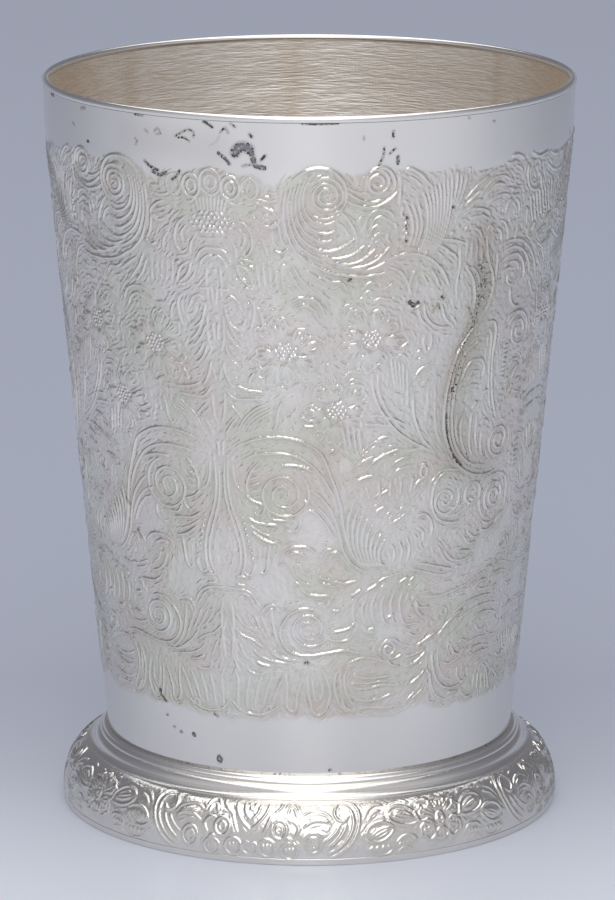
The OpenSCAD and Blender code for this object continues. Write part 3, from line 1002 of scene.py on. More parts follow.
    def veins(self, kind, pitch, longest, rng, keep):
        """Short fill lines: from each place of a shuffled grid a line follows the flow both ways
        until it meets another line or its own length, and is stamped where it comes out long
        enough. Lengths are in millimetres."""
        flow = self.flow(0.9)
        near = blur((self.height > LINE_EDGE) * 1.0, 40)
        width, height = self.lines[kind]
        z0, z1 = self.rows[0], self.rows[-1]
        per = np.radians(1.0) * self.radius.mean()
        a, z = np.meshgrid(np.arange(self.angles[0] + 0.5, self.angles[-1] - 0.5, pitch / per),
                           np.arange(z0 + 0.4, z1 - 0.4, pitch))
        seeds = np.stack([a.ravel(), z.ravel()], -1)
        seeds += rng.uniform(-0.5, 0.5, seeds.shape) * [pitch / per, pitch]
        step = 0.25
        for seed in rng.permutation(seeds):
            if near[self.cell(seed)] < NEAR_LINES or not keep(*seed):
                continue
            ends = []
            room = longest * rng.uniform(0.5, 1.0) / 2
            for sign in (1.0, -1.0):
                path = [seed]
                at, last = seed, None
                for _ in range(int(room / step)):
                    cell = self.cell(at)
                    if self.height[cell] > FILL_STOP:
                        break
                    d = np.array([math.cos(flow[cell]), math.sin(flow[cell])])
                    d = d * sign if last is None else d * math.copysign(1.0, d @ last)
                    last = d
                    at = at + d * step / [per, 1.0]
                    path.append(at)
                ends.append(path)
            path = ends[1][:0:-1] + ends[0]
            if len(path) * step >= SHORTEST_FILL:
                self.stamp(np.array(path), width, height * rng.uniform(*FILL_HEIGHTS), 0.4)

    def draw(self, rows):
        """Stamp every row of a motif."""
        for row in rows.strip().split("\n"):
            head, rest = row.split(" ", 1)
            if head == "P":
                wide, high, points = rest.split(" ", 2)
                self.stamp(smooth_curve(track(points)), float(wide), float(high), 0.0, self.pillow)
            elif "*" in head:
                first, last = map(track, rest.split("|"))
                for s in np.linspace(0.0, 1.0, int(head[2:])):
                    self.line(head[0], first + (last - first) * s)
            elif head in LINES:
                self.line(head, track(rest))
            else:
                self.figure(head, *map(float, rest.split()))

    def figure(self, head, a, z, *sizes):
        """Patch of beads, flower, spiral or ring round a centre."""
        if head == "o":
            self.beads((a, z), sizes[0] * self.degree_at(z), *sizes[1:])
        elif head in "WR":
            size, petals, turn = sizes
            self.flower((a, z), size, int(petals), turn, head == "W")
        elif head[1] == "@":
            self.spiral(head[0], (a, z), *sizes)
        else:
            self.ring(head[0], (a, z), *sizes)


# The wall's shape

def wall_radius(height, shape):
    """Outside radius: a straight taper from the waist to the lip, then a steeper band, with the
    bend between them rounded."""
    waist = shape.waist_radius / MM
    mouth = shape.mouth_radius / MM
    foot_z = COLLAR_BOX[1][2]
    top_z = WALL_BOX[1][2]
    lip_z = top_z - shape.lip_height / MM
    lip_r = mouth - shape.lip_flare / MM
    slope = (lip_r - waist) / (lip_z - foot_z)
    lip_slope = (mouth - lip_r) / (top_z - lip_z)
    taper = waist + slope * (height - foot_z)
    lip = lip_r + lip_slope * (height - lip_z)
    bend = 0.03
    return 0.5 * (taper + lip - np.sqrt((taper - lip) ** 2 + bend ** 2))


# The wall's panel: angle of its first mirror line, columns to its quarter turn and to one sector of
# the wall, outer columns to one inner column, and heights between which the rows are fine.
AXIS_A = -21.2
HALF_COLS = 320
SECTOR_COLS = 160
INNER_STEP = 8
ORNAMENT_LOW = 19.5
ORNAMENT_HIGH = 105.4
FINE_ROWS = 470
PLAIN_ROWS = 31
# How far below the collar's top the wall's first plain band starts, behind the collar
BEHIND_COLLAR = 0.4
# Heights between which fill lines start, and between which all ground is worked to a share, with
# the height over which that fades
FILL_LOW, FILL_HIGH = 20.6, 103.2
FIELD_LOW, FIELD_HIGH, FIELD_FADE = 22.0, 102.0, 2.0
FIELD_SHARE = 0.6
# Share of lines around a point at which the punched ground starts, and over which it grows
GROUND_FROM, GROUND_OVER = 0.28, 0.16
# Depth of a full hollow, share of it that a fill line makes, and share of the punched ground that
# the smoother places lose
HOLLOW_DEPTH, FILL_HOLLOWS = 0.1, 0.28
SMOOTHED = 0.45
# Height of the punched grain, and line height that hides it
GRAIN, GRAIN_COVER = 0.38, 0.06
# Rise from which a line's crest is brightened by rubbing and a painted highlight, and how far, where a
# bead takes both in full
CREST_RISE, CREST_SHARE = 0.07, 0.4
# Columns that a panel is drawn past both its mirror lines, on the wall and on the foot band
OVER = 24


def wall_rows():
    """Heights of the wall's rows: fine over the ornament, wider on the plain bands."""
    low = WALL_BOX[0][2]
    high = WALL_BOX[1][2]
    hidden = COLLAR_BOX[1][2] - BEHIND_COLLAR
    return np.r_[low, np.linspace(hidden, ORNAMENT_LOW, PLAIN_ROWS)[:-1],
                 np.linspace(ORNAMENT_LOW, ORNAMENT_HIGH, FINE_ROWS),
                 np.linspace(ORNAMENT_HIGH, high, PLAIN_ROWS)[1:]]


# Punched places between the wall's motifs, without fill lines: angle, height, half width in degrees
# and half height in millimetres.
BARE = [(-21.2, 67, 1.9, 23), (-21.2, 30, 1.0, 8), (13.5, 75.6, 2.6, 1.4), (24.5, 69, 2.6, 3.4),
        (44, 85, 1.6, 3), (20.8, 95.5, 1.3, 3.4), (5.4, 57, 1.2, 1.8), (55, 63.6, 2.6, 2),
        (29.6, 66.4, 1.4, 3.6)]

# Smoother places between the motifs, also without fill lines, in the same terms.
PLAIN = [(0.8, 49.6, 4.6, 3.0), (-10.2, 41.4, 3.6, 3.2), (-3.6, 34.6, 1.6, 2.2),
         (20.5, 34.6, 3.2, 2.4), (68.8, 66, 5.5, 8), (55, 81.8, 6, 2.8)]


# Power of the ovals' equation: 2 would be a true oval, and a higher one is fuller at its corners
OVAL_POWER = 2.5
# Value of that equation at which an oval's cover has faded out, which is 1 on its edge
OVAL_FADE = 2.2


def worked_place(angle, height):
    """Whether fill lines may start at a place: between the plain bands and outside every oval."""
    if not FILL_LOW < height < FILL_HIGH:
        return False
    return all(abs((angle - a) / wide) ** OVAL_POWER + abs((height - z) / tall) ** OVAL_POWER > 1.0
               for a, z, wide, tall in BARE + PLAIN)


def ovals(places, angles, heights):
    """Share of cover by a list of ovals over a grid: 1 inside, falling to 0 past the edge."""
    cover = np.zeros((len(heights), len(angles)))
    for a, z, wide, tall in places:
        off = (np.abs((angles - a) / wide)[None, :] ** OVAL_POWER
               + np.abs((heights - z) / tall)[:, None] ** OVAL_POWER)
        cover = np.maximum(cover, np.clip(OVAL_FADE - off, 0.0, 1.0))
    return cover


def carry_round(grid, half, times):
    """A panel drawn past both its mirror lines: what lies past a line is folded back over it, and
    the panel is then laid round the cup a number of times, every other one mirrored."""
    body = grid[:, OVER:-OVER].copy()
    body[:, :OVER + 1] = np.maximum(body[:, :OVER + 1], grid[:, OVER::-1])
    body[:, -OVER - 1:] = np.maximum(body[:, -OVER - 1:], grid[:, :-OVER - 2:-1])
    column = np.arange(times * half)
    place = column % half
    return body[:, np.where(column // half % 2 == 0, place, half - place)]


def round_wall(grid):
    """The wall's panel, a quarter turn, carried round."""
    return carry_round(grid, HALF_COLS, 4)


def matting(shape, rng, height):
    """Fine punched ground: random heights averaged with their neighbours."""
    return height * soften(rng.random(shape) - 0.5, 1)


def wall_relief(z, radius):
    """Relief round the whole wall: one panel of 90 degrees with its drawn motifs, fill lines that
    follow them and punched ground between, carried round. Gives the relief and the marks for the
    finish: hollows, worked ground, which is 0 on the plain bands, and crests, bright from rubbing
    and from a painted highlight, which is full on the beads."""
    rng = np.random.default_rng(7)
    angles = AXIS_A + np.arange(-OVER, HALF_COLS + OVER + 1) * 90.0 / HALF_COLS
    panel = Relief(angles, z, radius)
    for rows in WALL_MOTIFS.values():
        panel.draw(rows)
    drawn = round_wall(panel.height)
    panel.veins("T", pitch=0.6, longest=3.4, rng=rng, keep=worked_place)
    lines = round_wall(panel.height)
    hollow = np.maximum(hollows(drawn, HOLLOW_DEPTH), FILL_HOLLOWS * hollows(lines, HOLLOW_DEPTH))
    pillow = round_wall(panel.pillow)
    around = soften((lines > LINE_EDGE) * 1.0, 50)
    ground = share_of(around - GROUND_FROM, GROUND_OVER)
    ground = np.maximum(ground, round_wall(ovals(BARE, angles, z)))
    ground = ground * (1.0 - SMOOTHED * round_wall(ovals(PLAIN, angles, z)))
    field = share_of(z - FIELD_LOW, FIELD_FADE) * share_of(FIELD_HIGH - z, FIELD_FADE)
    ground = np.maximum(ground, FIELD_SHARE * field[:, None])
    bare = np.clip(1.0 - lines / GRAIN_COVER, 0.0, 1.0) * ground
    grain = bare * matting(lines.shape, rng, GRAIN)
    dots = round_wall(panel.dots)
    # The crest mark paints a highlight on the crests, along with their rubbing, and in full on the
    # beads
    masks = {"hollow": hollow, "worked": ground,
             "crest": np.maximum(CREST_SHARE * crests(lines, CREST_RISE), dots)}
    return lines + pillow + grain, masks


def soften(grid, times):
    """Average of each point with its neighbours, repeated; columns join round the cup."""
    for _ in range(times):
        grid = (grid + np.roll(grid, 1, 1) + np.roll(grid, -1, 1)) / 3.0
        edge = np.concatenate([grid[:1], grid, grid[-1:]])
        grid = (edge[:-2] + edge[1:-1] + edge[2:]) / 3.0
    return grid


# Times that the relief is softened to get the average around a point, for hollows and for crests
HOLLOW_REACH, CREST_REACH = 8, 6
# Share of a crest's rise that stays without rubbing or painted highlight, and factor on the share of
# ornament around a point
UNRUBBED_NO_HIGHLIGHT = 0.15
WORKED_GAIN = 1.6


def hollows(relief, depth):
    """Share of shelter at each point: how far it lies below the average around it, from 0 to 1."""
    return share_of(soften(relief, HOLLOW_REACH) - relief, depth)


def crests(relief, height):
    """Share of metal bright from rubbing and from a painted highlight: how far a point rises above
    the average around it, from 0 to 1.
    """
    return np.clip((relief - soften(relief, CREST_REACH)) / height - UNRUBBED_NO_HIGHLIGHT, 0.0, 1.0)


def worked(relief, reach):
    """Share of ornament around each point: 1 among the lines, falling to 0 on plain metal."""
    return np.clip(WORKED_GAIN * soften((relief > LINE_EDGE) * 1.0, reach), 0.0, 1.0)


# Dark sulphide marks on the wall, drawn one by one: half width in millimetres, darkness, then points
# "angle height" with commas between.
STAINS = """
1.05 1.0 -15.5 106.6, -14.9 107.2, -13.7 107.5, -12.5 107.2
0.5 1.0 -12.2 107, -11.7 106, -11.4 105
0.42 1.0 -11.2 104.8, -9.4 104.5
0.3 0.6 -10 105.6, -9.1 106.3
0.3 0.7 -11.9 109, -12.3 109.3
0.28 0.9 -19.1 106.4, -17.7 105.7, -16.7 104.9
0.22 0.5 -13.9 104.7, -12.4 104.9
0.2 0.6 -28.9 108.4, -27.6 108.9, -25.9 109.5, -24.6 109.2, -24.6 108.5
0.16 0.65 -28.2 108.2, -26.8 108.3, -25.6 107.8
0.2 0.5 -33.9 108.8, -33.2 109.3, -32.4 108.6, -33.4 108.4
0.25 0.45 -36.4 108.9, -35.7 108.5
0.22 0.9 -72.6 110.75, -70.6 110.8
0.12 0.9 -39 110.95, -36.8 110.9
6 0.11 0.5 97, 4 88, 3 76, 2 65
0.22 0.8 -22.2 110.8, -21.4 110.6, -20.3 110.1
0.2 0.6 -18.6 109.4, -17.6 110.1, -16.9 109.4
0.18 0.5 -16.4 110.8, -15.4 110.3
0.2 0.3 -21 107.4, -19.6 108, -18.8 108.9
0.25 0.8 -36.7 104.3, -35.3 103.6, -33.3 103.1
0.28 1.0 -34.8 102.9, -33 102.5, -31.4 102.9
0.2 0.8 -29.8 102, -28.6 102.7, -28.1 103.4
0.2 0.5 -39.1 107.4, -38.6 107, -39 106.5
0.25 0.8 -54.5 105.7, -54 105.6
0.18 0.5 -60.4 107.8, -59.6 107.5
0.3 0.5 -56.4 110.3, -55 110.5
0.2 0.8 17.5 109.6, 17.5 108.8
0.25 0.9 18.6 105.9, 18.6 104.9
0.2 0.6 14.2 104.4, 15.4 106, 15.6 107.3
0.2 0.5 16.8 106.4, 18 107.1
0.15 0.5 11.3 109, 11.3 108.6
0.2 0.5 35 110.7, 35.3 110.6
0.2 0.5 41.8 109.7, 42.2 109.6
0.22 0.7 77.5 105, 77.5 104.2
0.25 0.9 21 96.8, 21.2 96.7
0.2 0.8 21 95.6, 21 95.2
0.22 0.8 21.1 93.4, 21.2 93.3
0.25 0.9 32 97.8, 32.2 97.7
0.25 0.9 8.5 88, 8.9 88.1
0.4 0.9 22.4 84.2, 23.4 83.7, 24.4 84
0.3 0.4 28.4 82.4, 29.4 83.4, 30 82.8
0.25 0.7 30.4 84.6, 30.8 84.2
0.35 0.45 37.4 82.6, 38.4 81.8, 39.4 80.6
0.3 0.35 39 88.4, 40.6 86, 41 83.6, 40.4 81.8
4.5 0.12 -40 108, -30 107.5, -20 107
4.5 0.2 49 82.6, 55 82, 62 81.4
5.0 0.26 41 92, 42.4 86, 40.4 80, 36.6 74, 35 68, 35.6 62, 40 58, 46 57.4
2.8 0.38 40.6 88.6, 41.6 84.4, 40.4 81, 38.2 77.6, 36 73.6, 34.4 69.4
0.3 0.42 41.4 86.4, 41.8 84, 41 82, 39.8 80.4
0.17 0.9 33.5 66.6, 34.2 63.4, 35.4 61, 37.2 59.2, 39 58.2
0.1 0.8 -1.5 111, 2 110.95, 6 111
0.45 0.4 36.6 76.6, 35 73.6, 34.2 70.2, 33.4 67.4
0.4 0.4 38.4 66.4, 37.4 64.6, 37.8 62.8
0.22 0.6 33.6 64.6, 34.4 62.6, 36 60.4, 38 58.9
0.2 0.5 40.4 60, 41.4 58.6
0.35 1.0 -33.2 16.8, -32.9 16.7
0.2 0.7 -42.1 19, -41.8 19
0.22 0.9 -37.5 16.8, -37.1 16.8
0.18 0.8 -39.8 17.4, -39.5 17.3
0.28 0.9 -43.8 22.8, -43.2 21.8, -41.9 21.2
0.2 0.6 -26.2 20.7, -25.2 20.2
0.22 0.8 5.5 12.6, 5.8 12.6
0.3 0.8 -1 29.6, -0.4 29.6
0.16 1.0 -24.7 13.5, -25.1 13.95, -25.7 13.9, -25.9 13.4, -25.4 13, -24.9 13.1, -24.7 13.5
0.3 0.5 -47.4 47.6, -46.6 46.4
0.3 0.5 -51 52, -49.6 51
"""


# Width in millimetres that the soft edge adds to each mark
STAIN_SOFT = 0.16


def stains(z, radius):
    """Darkness of the marks over the whole wall; the finish breaks up their soft edges."""
    angles = AXIS_A - 90.0 + np.arange(4 * HALF_COLS) * 90.0 / HALF_COLS
    sheet = Relief(angles, z, radius)
    for row in STAINS.strip().split("\n"):
        wide, dark, points = row.split(" ", 2)
        sheet.stamp(smooth_curve(track(points)), float(wide) + STAIN_SOFT, float(dark), 0.0)
    return np.roll(np.clip(sheet.height, 0.0, 1.0), -HALF_COLS, 1)


# Share of a warm, darker tone round the inside, from listed places of (angle, share)
INSIDE_BANDS = [(0, 0.3), (30, 0.5), (60, 0.2), (90, 0.8), (104, 1.0), (118, 0.8), (125, 0.4),
                (129, 0.25), (131.5, 0.75), (134, 0.2), (150, 0.15), (162, 0.25), (170, 0.0),
                (180, 0.1), (184, 0.6), (187, 0.1), (200, 0.0), (214, 0.1), (222, 0.1),
                (225.5, 0.6), (229, 0.2), (238, 0.45), (246, 0.9), (256, 1.0), (270, 0.8),
                (300, 0.3), (330, 0.6), (360, 0.3)]


def warmth(angles):
    """Share of the warm, darker tone at angles round the inside, in bands that run down the wall."""
    at, share = zip(*INSIDE_BANDS)
    return np.interp(angles % 360.0, at, share)


def build_wall(shape, materials):
    """Eight closed sectors of the wall. The outside is the wall's radius plus the relief at each
    angle and height, the inside is the plain taper."""
    z = wall_rows()
    rows = len(z)
    outer_r = wall_radius(z, shape)
    inner_r = outer_r - shape.wall_thickness / MM
    relief, masks = wall_relief(z, outer_r)
    masks["stain"] = stains(z, outer_r)
    step = 90.0 / HALF_COLS
    for s in range(8):
        j = np.arange(-2, SECTOR_COLS + 3) + s * SECTOR_COLS
        angle = AXIS_A + j * step
        ring = np.arange(4 * HALF_COLS)[j % (4 * HALF_COLS)]
        h = relief[:, ring] * shape.relief
        p = ring_points(outer_r[:, None] + h, angle[None, :], z[:, None])
        n = relief_normals(p)[:, 2:-2]
        p = p[:, 2:-2]
        inner_angle = angle[2:-2][::INNER_STEP]
        q = ring_points(inner_r[:, None], inner_angle[None, :], z[:, None])
        slope = -np.gradient(inner_r, z)[:, None]
        m = -unit(ring_points(1.0, inner_angle[None, :], slope))
        cols, inner_cols = p.shape[1], q.shape[1]
        count = rows * cols
        out_at = np.arange(count).reshape(rows, cols)
        in_at = np.arange(rows * inner_cols).reshape(rows, inner_cols) + count
        left, right = (np.stack([out_at[1:, end], in_at[1:, end], in_at[:-1, end],
                                 out_at[:-1, end]], -1) for end in (0, -1))
        inside = quads(rows, inner_cols, False, count, True)
        faces = [quads(rows, cols, False), left, right[:, ::-1],
                 cap(out_at[-1], in_at[-1], INNER_STEP, False, False),
                 cap(out_at[0], in_at[0], INNER_STEP, False, True), inside]
        blank = np.zeros(rows * inner_cols)
        marks = {key: np.r_[mask[:, ring][:, 2:-2].ravel(), blank] for key, mask in masks.items()}
        marks["worked"][count:] = np.tile(warmth(inner_angle), rows)
        add_shell(f"wall_sector_{s + 1}", (p, q), (n, m), faces, marks, materials, ["body_wall"])


# Foot and rim

# The same sizes as in the CAD, in millimetres: flat under the rim wire, flat on top of the collar,
# plain edge round its bottom, lap of the band's flange under the wall, distance from the collar's
# edge in to the middle of the band's oval and its height over the base wire, width of the base wire
# and its worn edge.
RIM_FLAT = 0.1
COLLAR_LAND = 0.3
COLLAR_EDGE = 0.1
FLANGE_LAP = 0.4
SWELL_IN = 0.9
SWELL_UP = 0.8
BASE_WIDTH = 1.0
WORN_EDGE = 0.15
# Grooves under the collar's two reeds and its roll, as shares of its width and height
GROOVES = [[0.29, 0.84], [0.43, 0.65], [0.72, 0.29]]
# Points round the rim wire, steps along each moulding of the collar, points round a worn edge
RIM_POINTS = 33
MOULDING_STEPS = 12
EDGE_POINTS = 7
# How far the collar's two reeds and its roll swell out of their chords, and how deep its cove is
COLLAR_RISES = [0.10, 0.10, 0.18, -0.12]


def rim_section():
    """Round wire with a flat under it: a circle from one end of the flat round to the other."""
    low, high = RIM_BOX
    top_r = (high[2] - low[2] + RIM_FLAT) / 2
    centre = (high[0] - top_r, high[2] - top_r)
    dip = math.degrees(math.asin((centre[1] - low[2]) / top_r))
    a = np.radians(np.linspace(-dip, 180.0 + dip, RIM_POINTS))
    return np.stack([centre[0] + top_r * np.cos(a), centre[1] + top_r * np.sin(a)], -1)


def collar_section(shape):
    """Two fine reeds, a roll and a cove, each a chord with a sine bulge, down to a plain edge."""
    low, high = COLLAR_BOX
    waist = shape.waist_radius / MM
    width = high[0] - waist
    tall = high[2] - low[2]
    marks = np.array([[COLLAR_LAND / width, 1.0], *GROOVES, [1.0, COLLAR_EDGE / tall]])
    marks = marks * [width, tall] + [waist, low[2]]
    t = np.linspace(0.0, 1.0, MOULDING_STEPS + 1)[:-1, None]
    parts = []
    for a, b, rise in zip(marks[:-1], marks[1:], COLLAR_RISES):
        run = b - a
        out = np.array([-run[1], run[0]]) / np.hypot(*run)
        parts.append(a + run * t + out * rise * np.sin(np.pi * t))
    foot = wall_radius(np.array([low[2], high[2]]), shape)
    start = [[foot[0], low[2]], [foot[1], high[2]]]
    return np.concatenate([start, *parts, [marks[-1], [high[0], low[2]]]])


def band_oval():
    """Centre and half axes of the oval that the foot band follows."""
    foot_r = BASE_BOX[1][0]
    seat_z = BAND_BOX[1][2]
    centre = np.array([COLLAR_BOX[1][0] - SWELL_IN, BASE_BOX[1][2] + SWELL_UP])
    across = foot_r - centre[0]
    lean = math.asin((COLLAR_BOX[1][0] - centre[0]) / across)
    return centre, across, (seat_z - centre[1]) / math.cos(lean)


def band_arc(inset, from_z, to_z, count):
    """Points on that oval, set in by a thickness, from one height down to another."""
    centre, across, up = band_oval()
    a = np.linspace(math.acos((from_z - centre[1]) / (up - inset)),
                    math.acos((to_z - centre[1]) / (up - inset)), count)
    return np.stack([centre[0] + (across - inset) * np.sin(a),
                     centre[1] + (up - inset) * np.cos(a)], -1)


# The band's unit: angle of its first mirror line, columns to an eighth of a turn, rows outside and
# inside, and the length along the profile at its first row, in the terms of its motifs.
BAND_AXIS = -13.5
BAND_COLS = 168
BAND_ROWS = 60
BAND_INNER_ROWS = 26
BAND_STARTS_AT = 6.1
# Lengths along the profile between which the ornament lies, over which it fades at either end, and
# between which fill lines start
BAND_LOW, BAND_HIGH = 6.2, 15.9
FADE_LOW, FADE_HIGH = 0.6, 0.4
BAND_FILL_LOW, BAND_FILL_HIGH = 7.2, 15.2
# Height of the band's punched grain, and depth of a full hollow on it
BAND_GRAIN = 0.07
BAND_HOLLOWS = 0.14


def band_relief(along, radius):
    """Relief round the foot band: a half unit of 45 degrees carried round eight times, mirrored."""
    rng = np.random.default_rng(5)
    angles = BAND_AXIS + np.arange(-OVER, BAND_COLS + OVER + 1) * 45.0 / BAND_COLS
    panel = Relief(angles, along, radius, wider=0.74, higher=0.95)
    panel.draw(BAND_MOTIFS)
    panel.veins("T", pitch=1.3, longest=2.6, rng=rng,
                keep=lambda a, u: BAND_FILL_LOW < u < BAND_FILL_HIGH)
    lines = carry_round(panel.height + panel.pillow, BAND_COLS, 8)
    edge = share_of(along - BAND_LOW, FADE_LOW) * share_of(BAND_HIGH - along, FADE_HIGH)
    return (lines + matting(lines.shape, rng, BAND_GRAIN)) * edge[:, None]


def build_band(shape, materials):
    """Stamped band with its flange: the outer oval pushed out along its normal by the relief, the
    inner oval and the flange smooth, closed all round."""
    top = BAND_BOX[1][2]
    low = BAND_BOX[0][2]
    sheet = shape.sheet_thickness / MM
    arc = band_arc(0.0, top, low, BAND_ROWS)
    run = np.gradient(arc, axis=0)
    out = unit(np.stack([-run[:, 1], run[:, 0]], -1))
    along = BAND_STARTS_AT + np.r_[0.0, np.cumsum(np.hypot(*np.diff(arc, axis=0).T))]
    relief = band_relief(along, arc[:, 0])
    cols = 8 * BAND_COLS
    j = np.arange(-1, cols + 1)
    angle = BAND_AXIS + j * 45.0 / BAND_COLS
    h = relief[:, j % cols] * shape.relief
    p = ring_points(arc[:, :1] + out[:, :1] * h, angle[None, :], arc[:, 1:] + out[:, 1:] * h)
    n = -sheet_normals(p)[:, 1:-1]
    p = p[:, 1:-1]

    flange_r = wall_radius(np.array([top]), shape)[0] - FLANGE_LAP
    inner = np.r_[[[flange_r, top], [flange_r, top - sheet]],
                  band_arc(sheet, top - sheet, low, BAND_INNER_ROWS)]
    inner_cols = cols // INNER_STEP
    inner_angle = BAND_AXIS + np.arange(-1, inner_cols + 1) * 360.0 / inner_cols
    q = ring_points(inner[:, :1], inner_angle[None, :], inner[:, 1:])
    m = sheet_normals(q)[:, 1:-1]
    q = q[:, 1:-1]

    count = p.shape[0] * cols
    out_at = np.arange(count).reshape(-1, cols)
    in_at = np.arange(q.shape[0] * inner_cols).reshape(-1, inner_cols) + count
    inside = quads(len(q), inner_cols, True, count)
    faces = [quads(len(p), cols, True, 0, True),
             cap(out_at[0], in_at[0], INNER_STEP, True, False),
             cap(out_at[-1], in_at[-1], INNER_STEP, True, True), inside]
    blank = np.zeros(q.shape[0] * inner_cols)
    marks = {"hollow": np.r_[hollows(relief, BAND_HOLLOWS).ravel(), blank],
             "worked": np.r_[0.5 * worked(relief, 9).ravel(), blank]}
    return add_shell("foot_band_sheet", (p, q), (n, m), faces, marks, materials, ["foot_band"])


def base_section():
    """Plain wire: flat on top and underneath, with its outer edges worn round."""
    low, high = BASE_BOX
    inner_r = high[0] - BASE_WIDTH
    worn = WORN_EDGE
    a = np.radians(np.linspace(-90.0, 0.0, EDGE_POINTS))
    low_edge = np.stack([high[0] - worn + worn * np.cos(a), low[2] + worn + worn * np.sin(a)], -1)
    a = np.radians(np.linspace(0.0, 90.0, EDGE_POINTS))
    high_edge = np.stack([high[0] - worn + worn * np.cos(a), high[2] - worn + worn * np.sin(a)], -1)
    return np.concatenate([[[inner_r, low[2]]], low_edge, high_edge, [[inner_r, high[2]]]])


# Materials

# Nodes stand in rows of ten, in steps of this width and height
NODES_ACROSS = 10
NODE_WIDE, NODE_TALL = 200, 300


def node(tree, kind, **values):
    """New shader node in the next free place, with its settings by name."""
    row, column = divmod(len(tree.nodes), NODES_ACROSS)
    n = tree.nodes.new(kind)
    n.location = (column * NODE_WIDE, -row * NODE_TALL)
    for key, value in values.items():
        setattr(n, key, value)
    return n


def new_material(name):
    """Empty material with its Principled shader and output."""
    m = bpy.data.materials.new(name)
    m.use_nodes = True
    m.node_tree.nodes.clear()
    out = node(m.node_tree, "ShaderNodeOutputMaterial")
    bsdf = node(m.node_tree, "ShaderNodeBsdfPrincipled")
    m.node_tree.links.new(bsdf.outputs[0], out.inputs[0])
    return m, m.node_tree, bsdf


def put(tree, socket, value):
    """Give an input a value, or link an output to it."""
    if isinstance(value, bpy.types.NodeSocket):
        tree.links.new(value, socket)
    else:
        socket.default_value = value


def calc(tree, operation, a, b, clamp=False):
    """Math node on two values."""
    n = node(tree, "ShaderNodeMath", operation=operation, use_clamp=clamp)
    put(tree, n.inputs[0], a)
    put(tree, n.inputs[1], b)
    return n.outputs[0]


def scaled(tree, value, factor, plus):
    """Value times a factor, plus a constant."""
    return calc(tree, "ADD", calc(tree, "MULTIPLY", value, factor), plus)


def blend(tree, share, a, b):
    """Colour between a and b."""
    n = node(tree, "ShaderNodeMix", data_type="RGBA")
    put(tree, n.inputs["Factor"], share)
    put(tree, n.inputs[6], a)
    put(tree, n.inputs[7], b)
    return n.outputs[2]


def noise(tree, place, scale, detail, stretch=(1.0, 1.0, 1.0), turn=(0.0, 0.0, 0.0)):
    """Noise over a place that is first turned and stretched; scale is in cells per metre."""
    move = node(tree, "ShaderNodeMapping")
    move.inputs["Rotation"].default_value = turn
    move.inputs["Scale"].default_value = stretch
    put(tree, move.inputs["Vector"], place)
    n = node(tree, "ShaderNodeTexNoise")
    n.inputs["Scale"].default_value = scale
    n.inputs["Detail"].default_value = detail
    tree.links.new(move.outputs[0], n.inputs["Vector"])
    return n.outputs["Fac"]


def spread(tree, value, low, high, to_low=0.0, to_high=1.0, kind="SMOOTHSTEP"):
    """Value between low and high carried to the range of two others, smoothly or evenly."""
    n = node(tree, "ShaderNodeMapRange", interpolation_type=kind)
    for key, v in (("Value", value), ("From Min", low), ("From Max", high), ("To Min", to_low),
                   ("To Max", to_high)):
        put(tree, n.inputs[key], v)
    return n.outputs[0]


def axes(tree, place):
    """X, Y and Z of a place."""
    split = node(tree, "ShaderNodeSeparateXYZ")
    tree.links.new(place, split.inputs[0])
    return split.outputs


def new_group(name, inputs, outputs):
    """Empty node group with named sockets; gives the tree and its input and output nodes."""
    tree = bpy.data.node_groups.new(name, "ShaderNodeTree")
    for key, kind in inputs:
        tree.interface.new_socket(name=key, in_out="INPUT", socket_type=kind)
    for key, kind in outputs:
        tree.interface.new_socket(name=key, in_out="OUTPUT", socket_type=kind)
    return tree, node(tree, "NodeGroupInput").outputs, node(tree, "NodeGroupOutput").inputs


def use_group(tree, group, **values):
    """Group placed in a material, with its own values by name."""
    n = node(tree, "ShaderNodeGroup", node_tree=group)
    for key, value in values.items():
        put(tree, n.inputs[key], value)
    return n.outputs


VECTOR, COLOUR, NUMBER = "NodeSocketVector", "NodeSocketColor", "NodeSocketFloat"
# Cells per metre of each noise: clouds of bloom, patches in the hollows, flecks along the stains'
# edges, tints of the bloom, mist on the satin, pits in the solder, and fine and broad lathe marks
CLOUDS, PATCHES, FLECKS = 70.0, 330.0, 2900.0
TINTS, MIST, PITS = 130.0, 45.0, 1900.0
FINE_MARKS, BROAD_MARKS = 60.0, 22.0
# The worked ground's bloom in shares of the silver's colour, where it is pinkish and greenish
BLOOM_TINTS = [(0.865, 0.81, 0.755), (0.825, 0.83, 0.745)]
# Colours of the satin inside, in the lathe's marks and where it takes its warm, darker tone
STREAK = (0.80, 0.755, 0.69)
INSIDE_WARM = (0.68, 0.56, 0.44)
# Colours of silver brightened on the crests by rubbing and a painted highlight, and of the stains'
# rim, middle and haze
RUBBED_AND_HIGHLIGHT = (0.97, 0.96, 0.94)
STAIN_DARK = (0.05, 0.048, 0.05)
STAIN_PALE = (0.26, 0.26, 0.28)
STAIN_BROWN = (0.24, 0.18, 0.11)


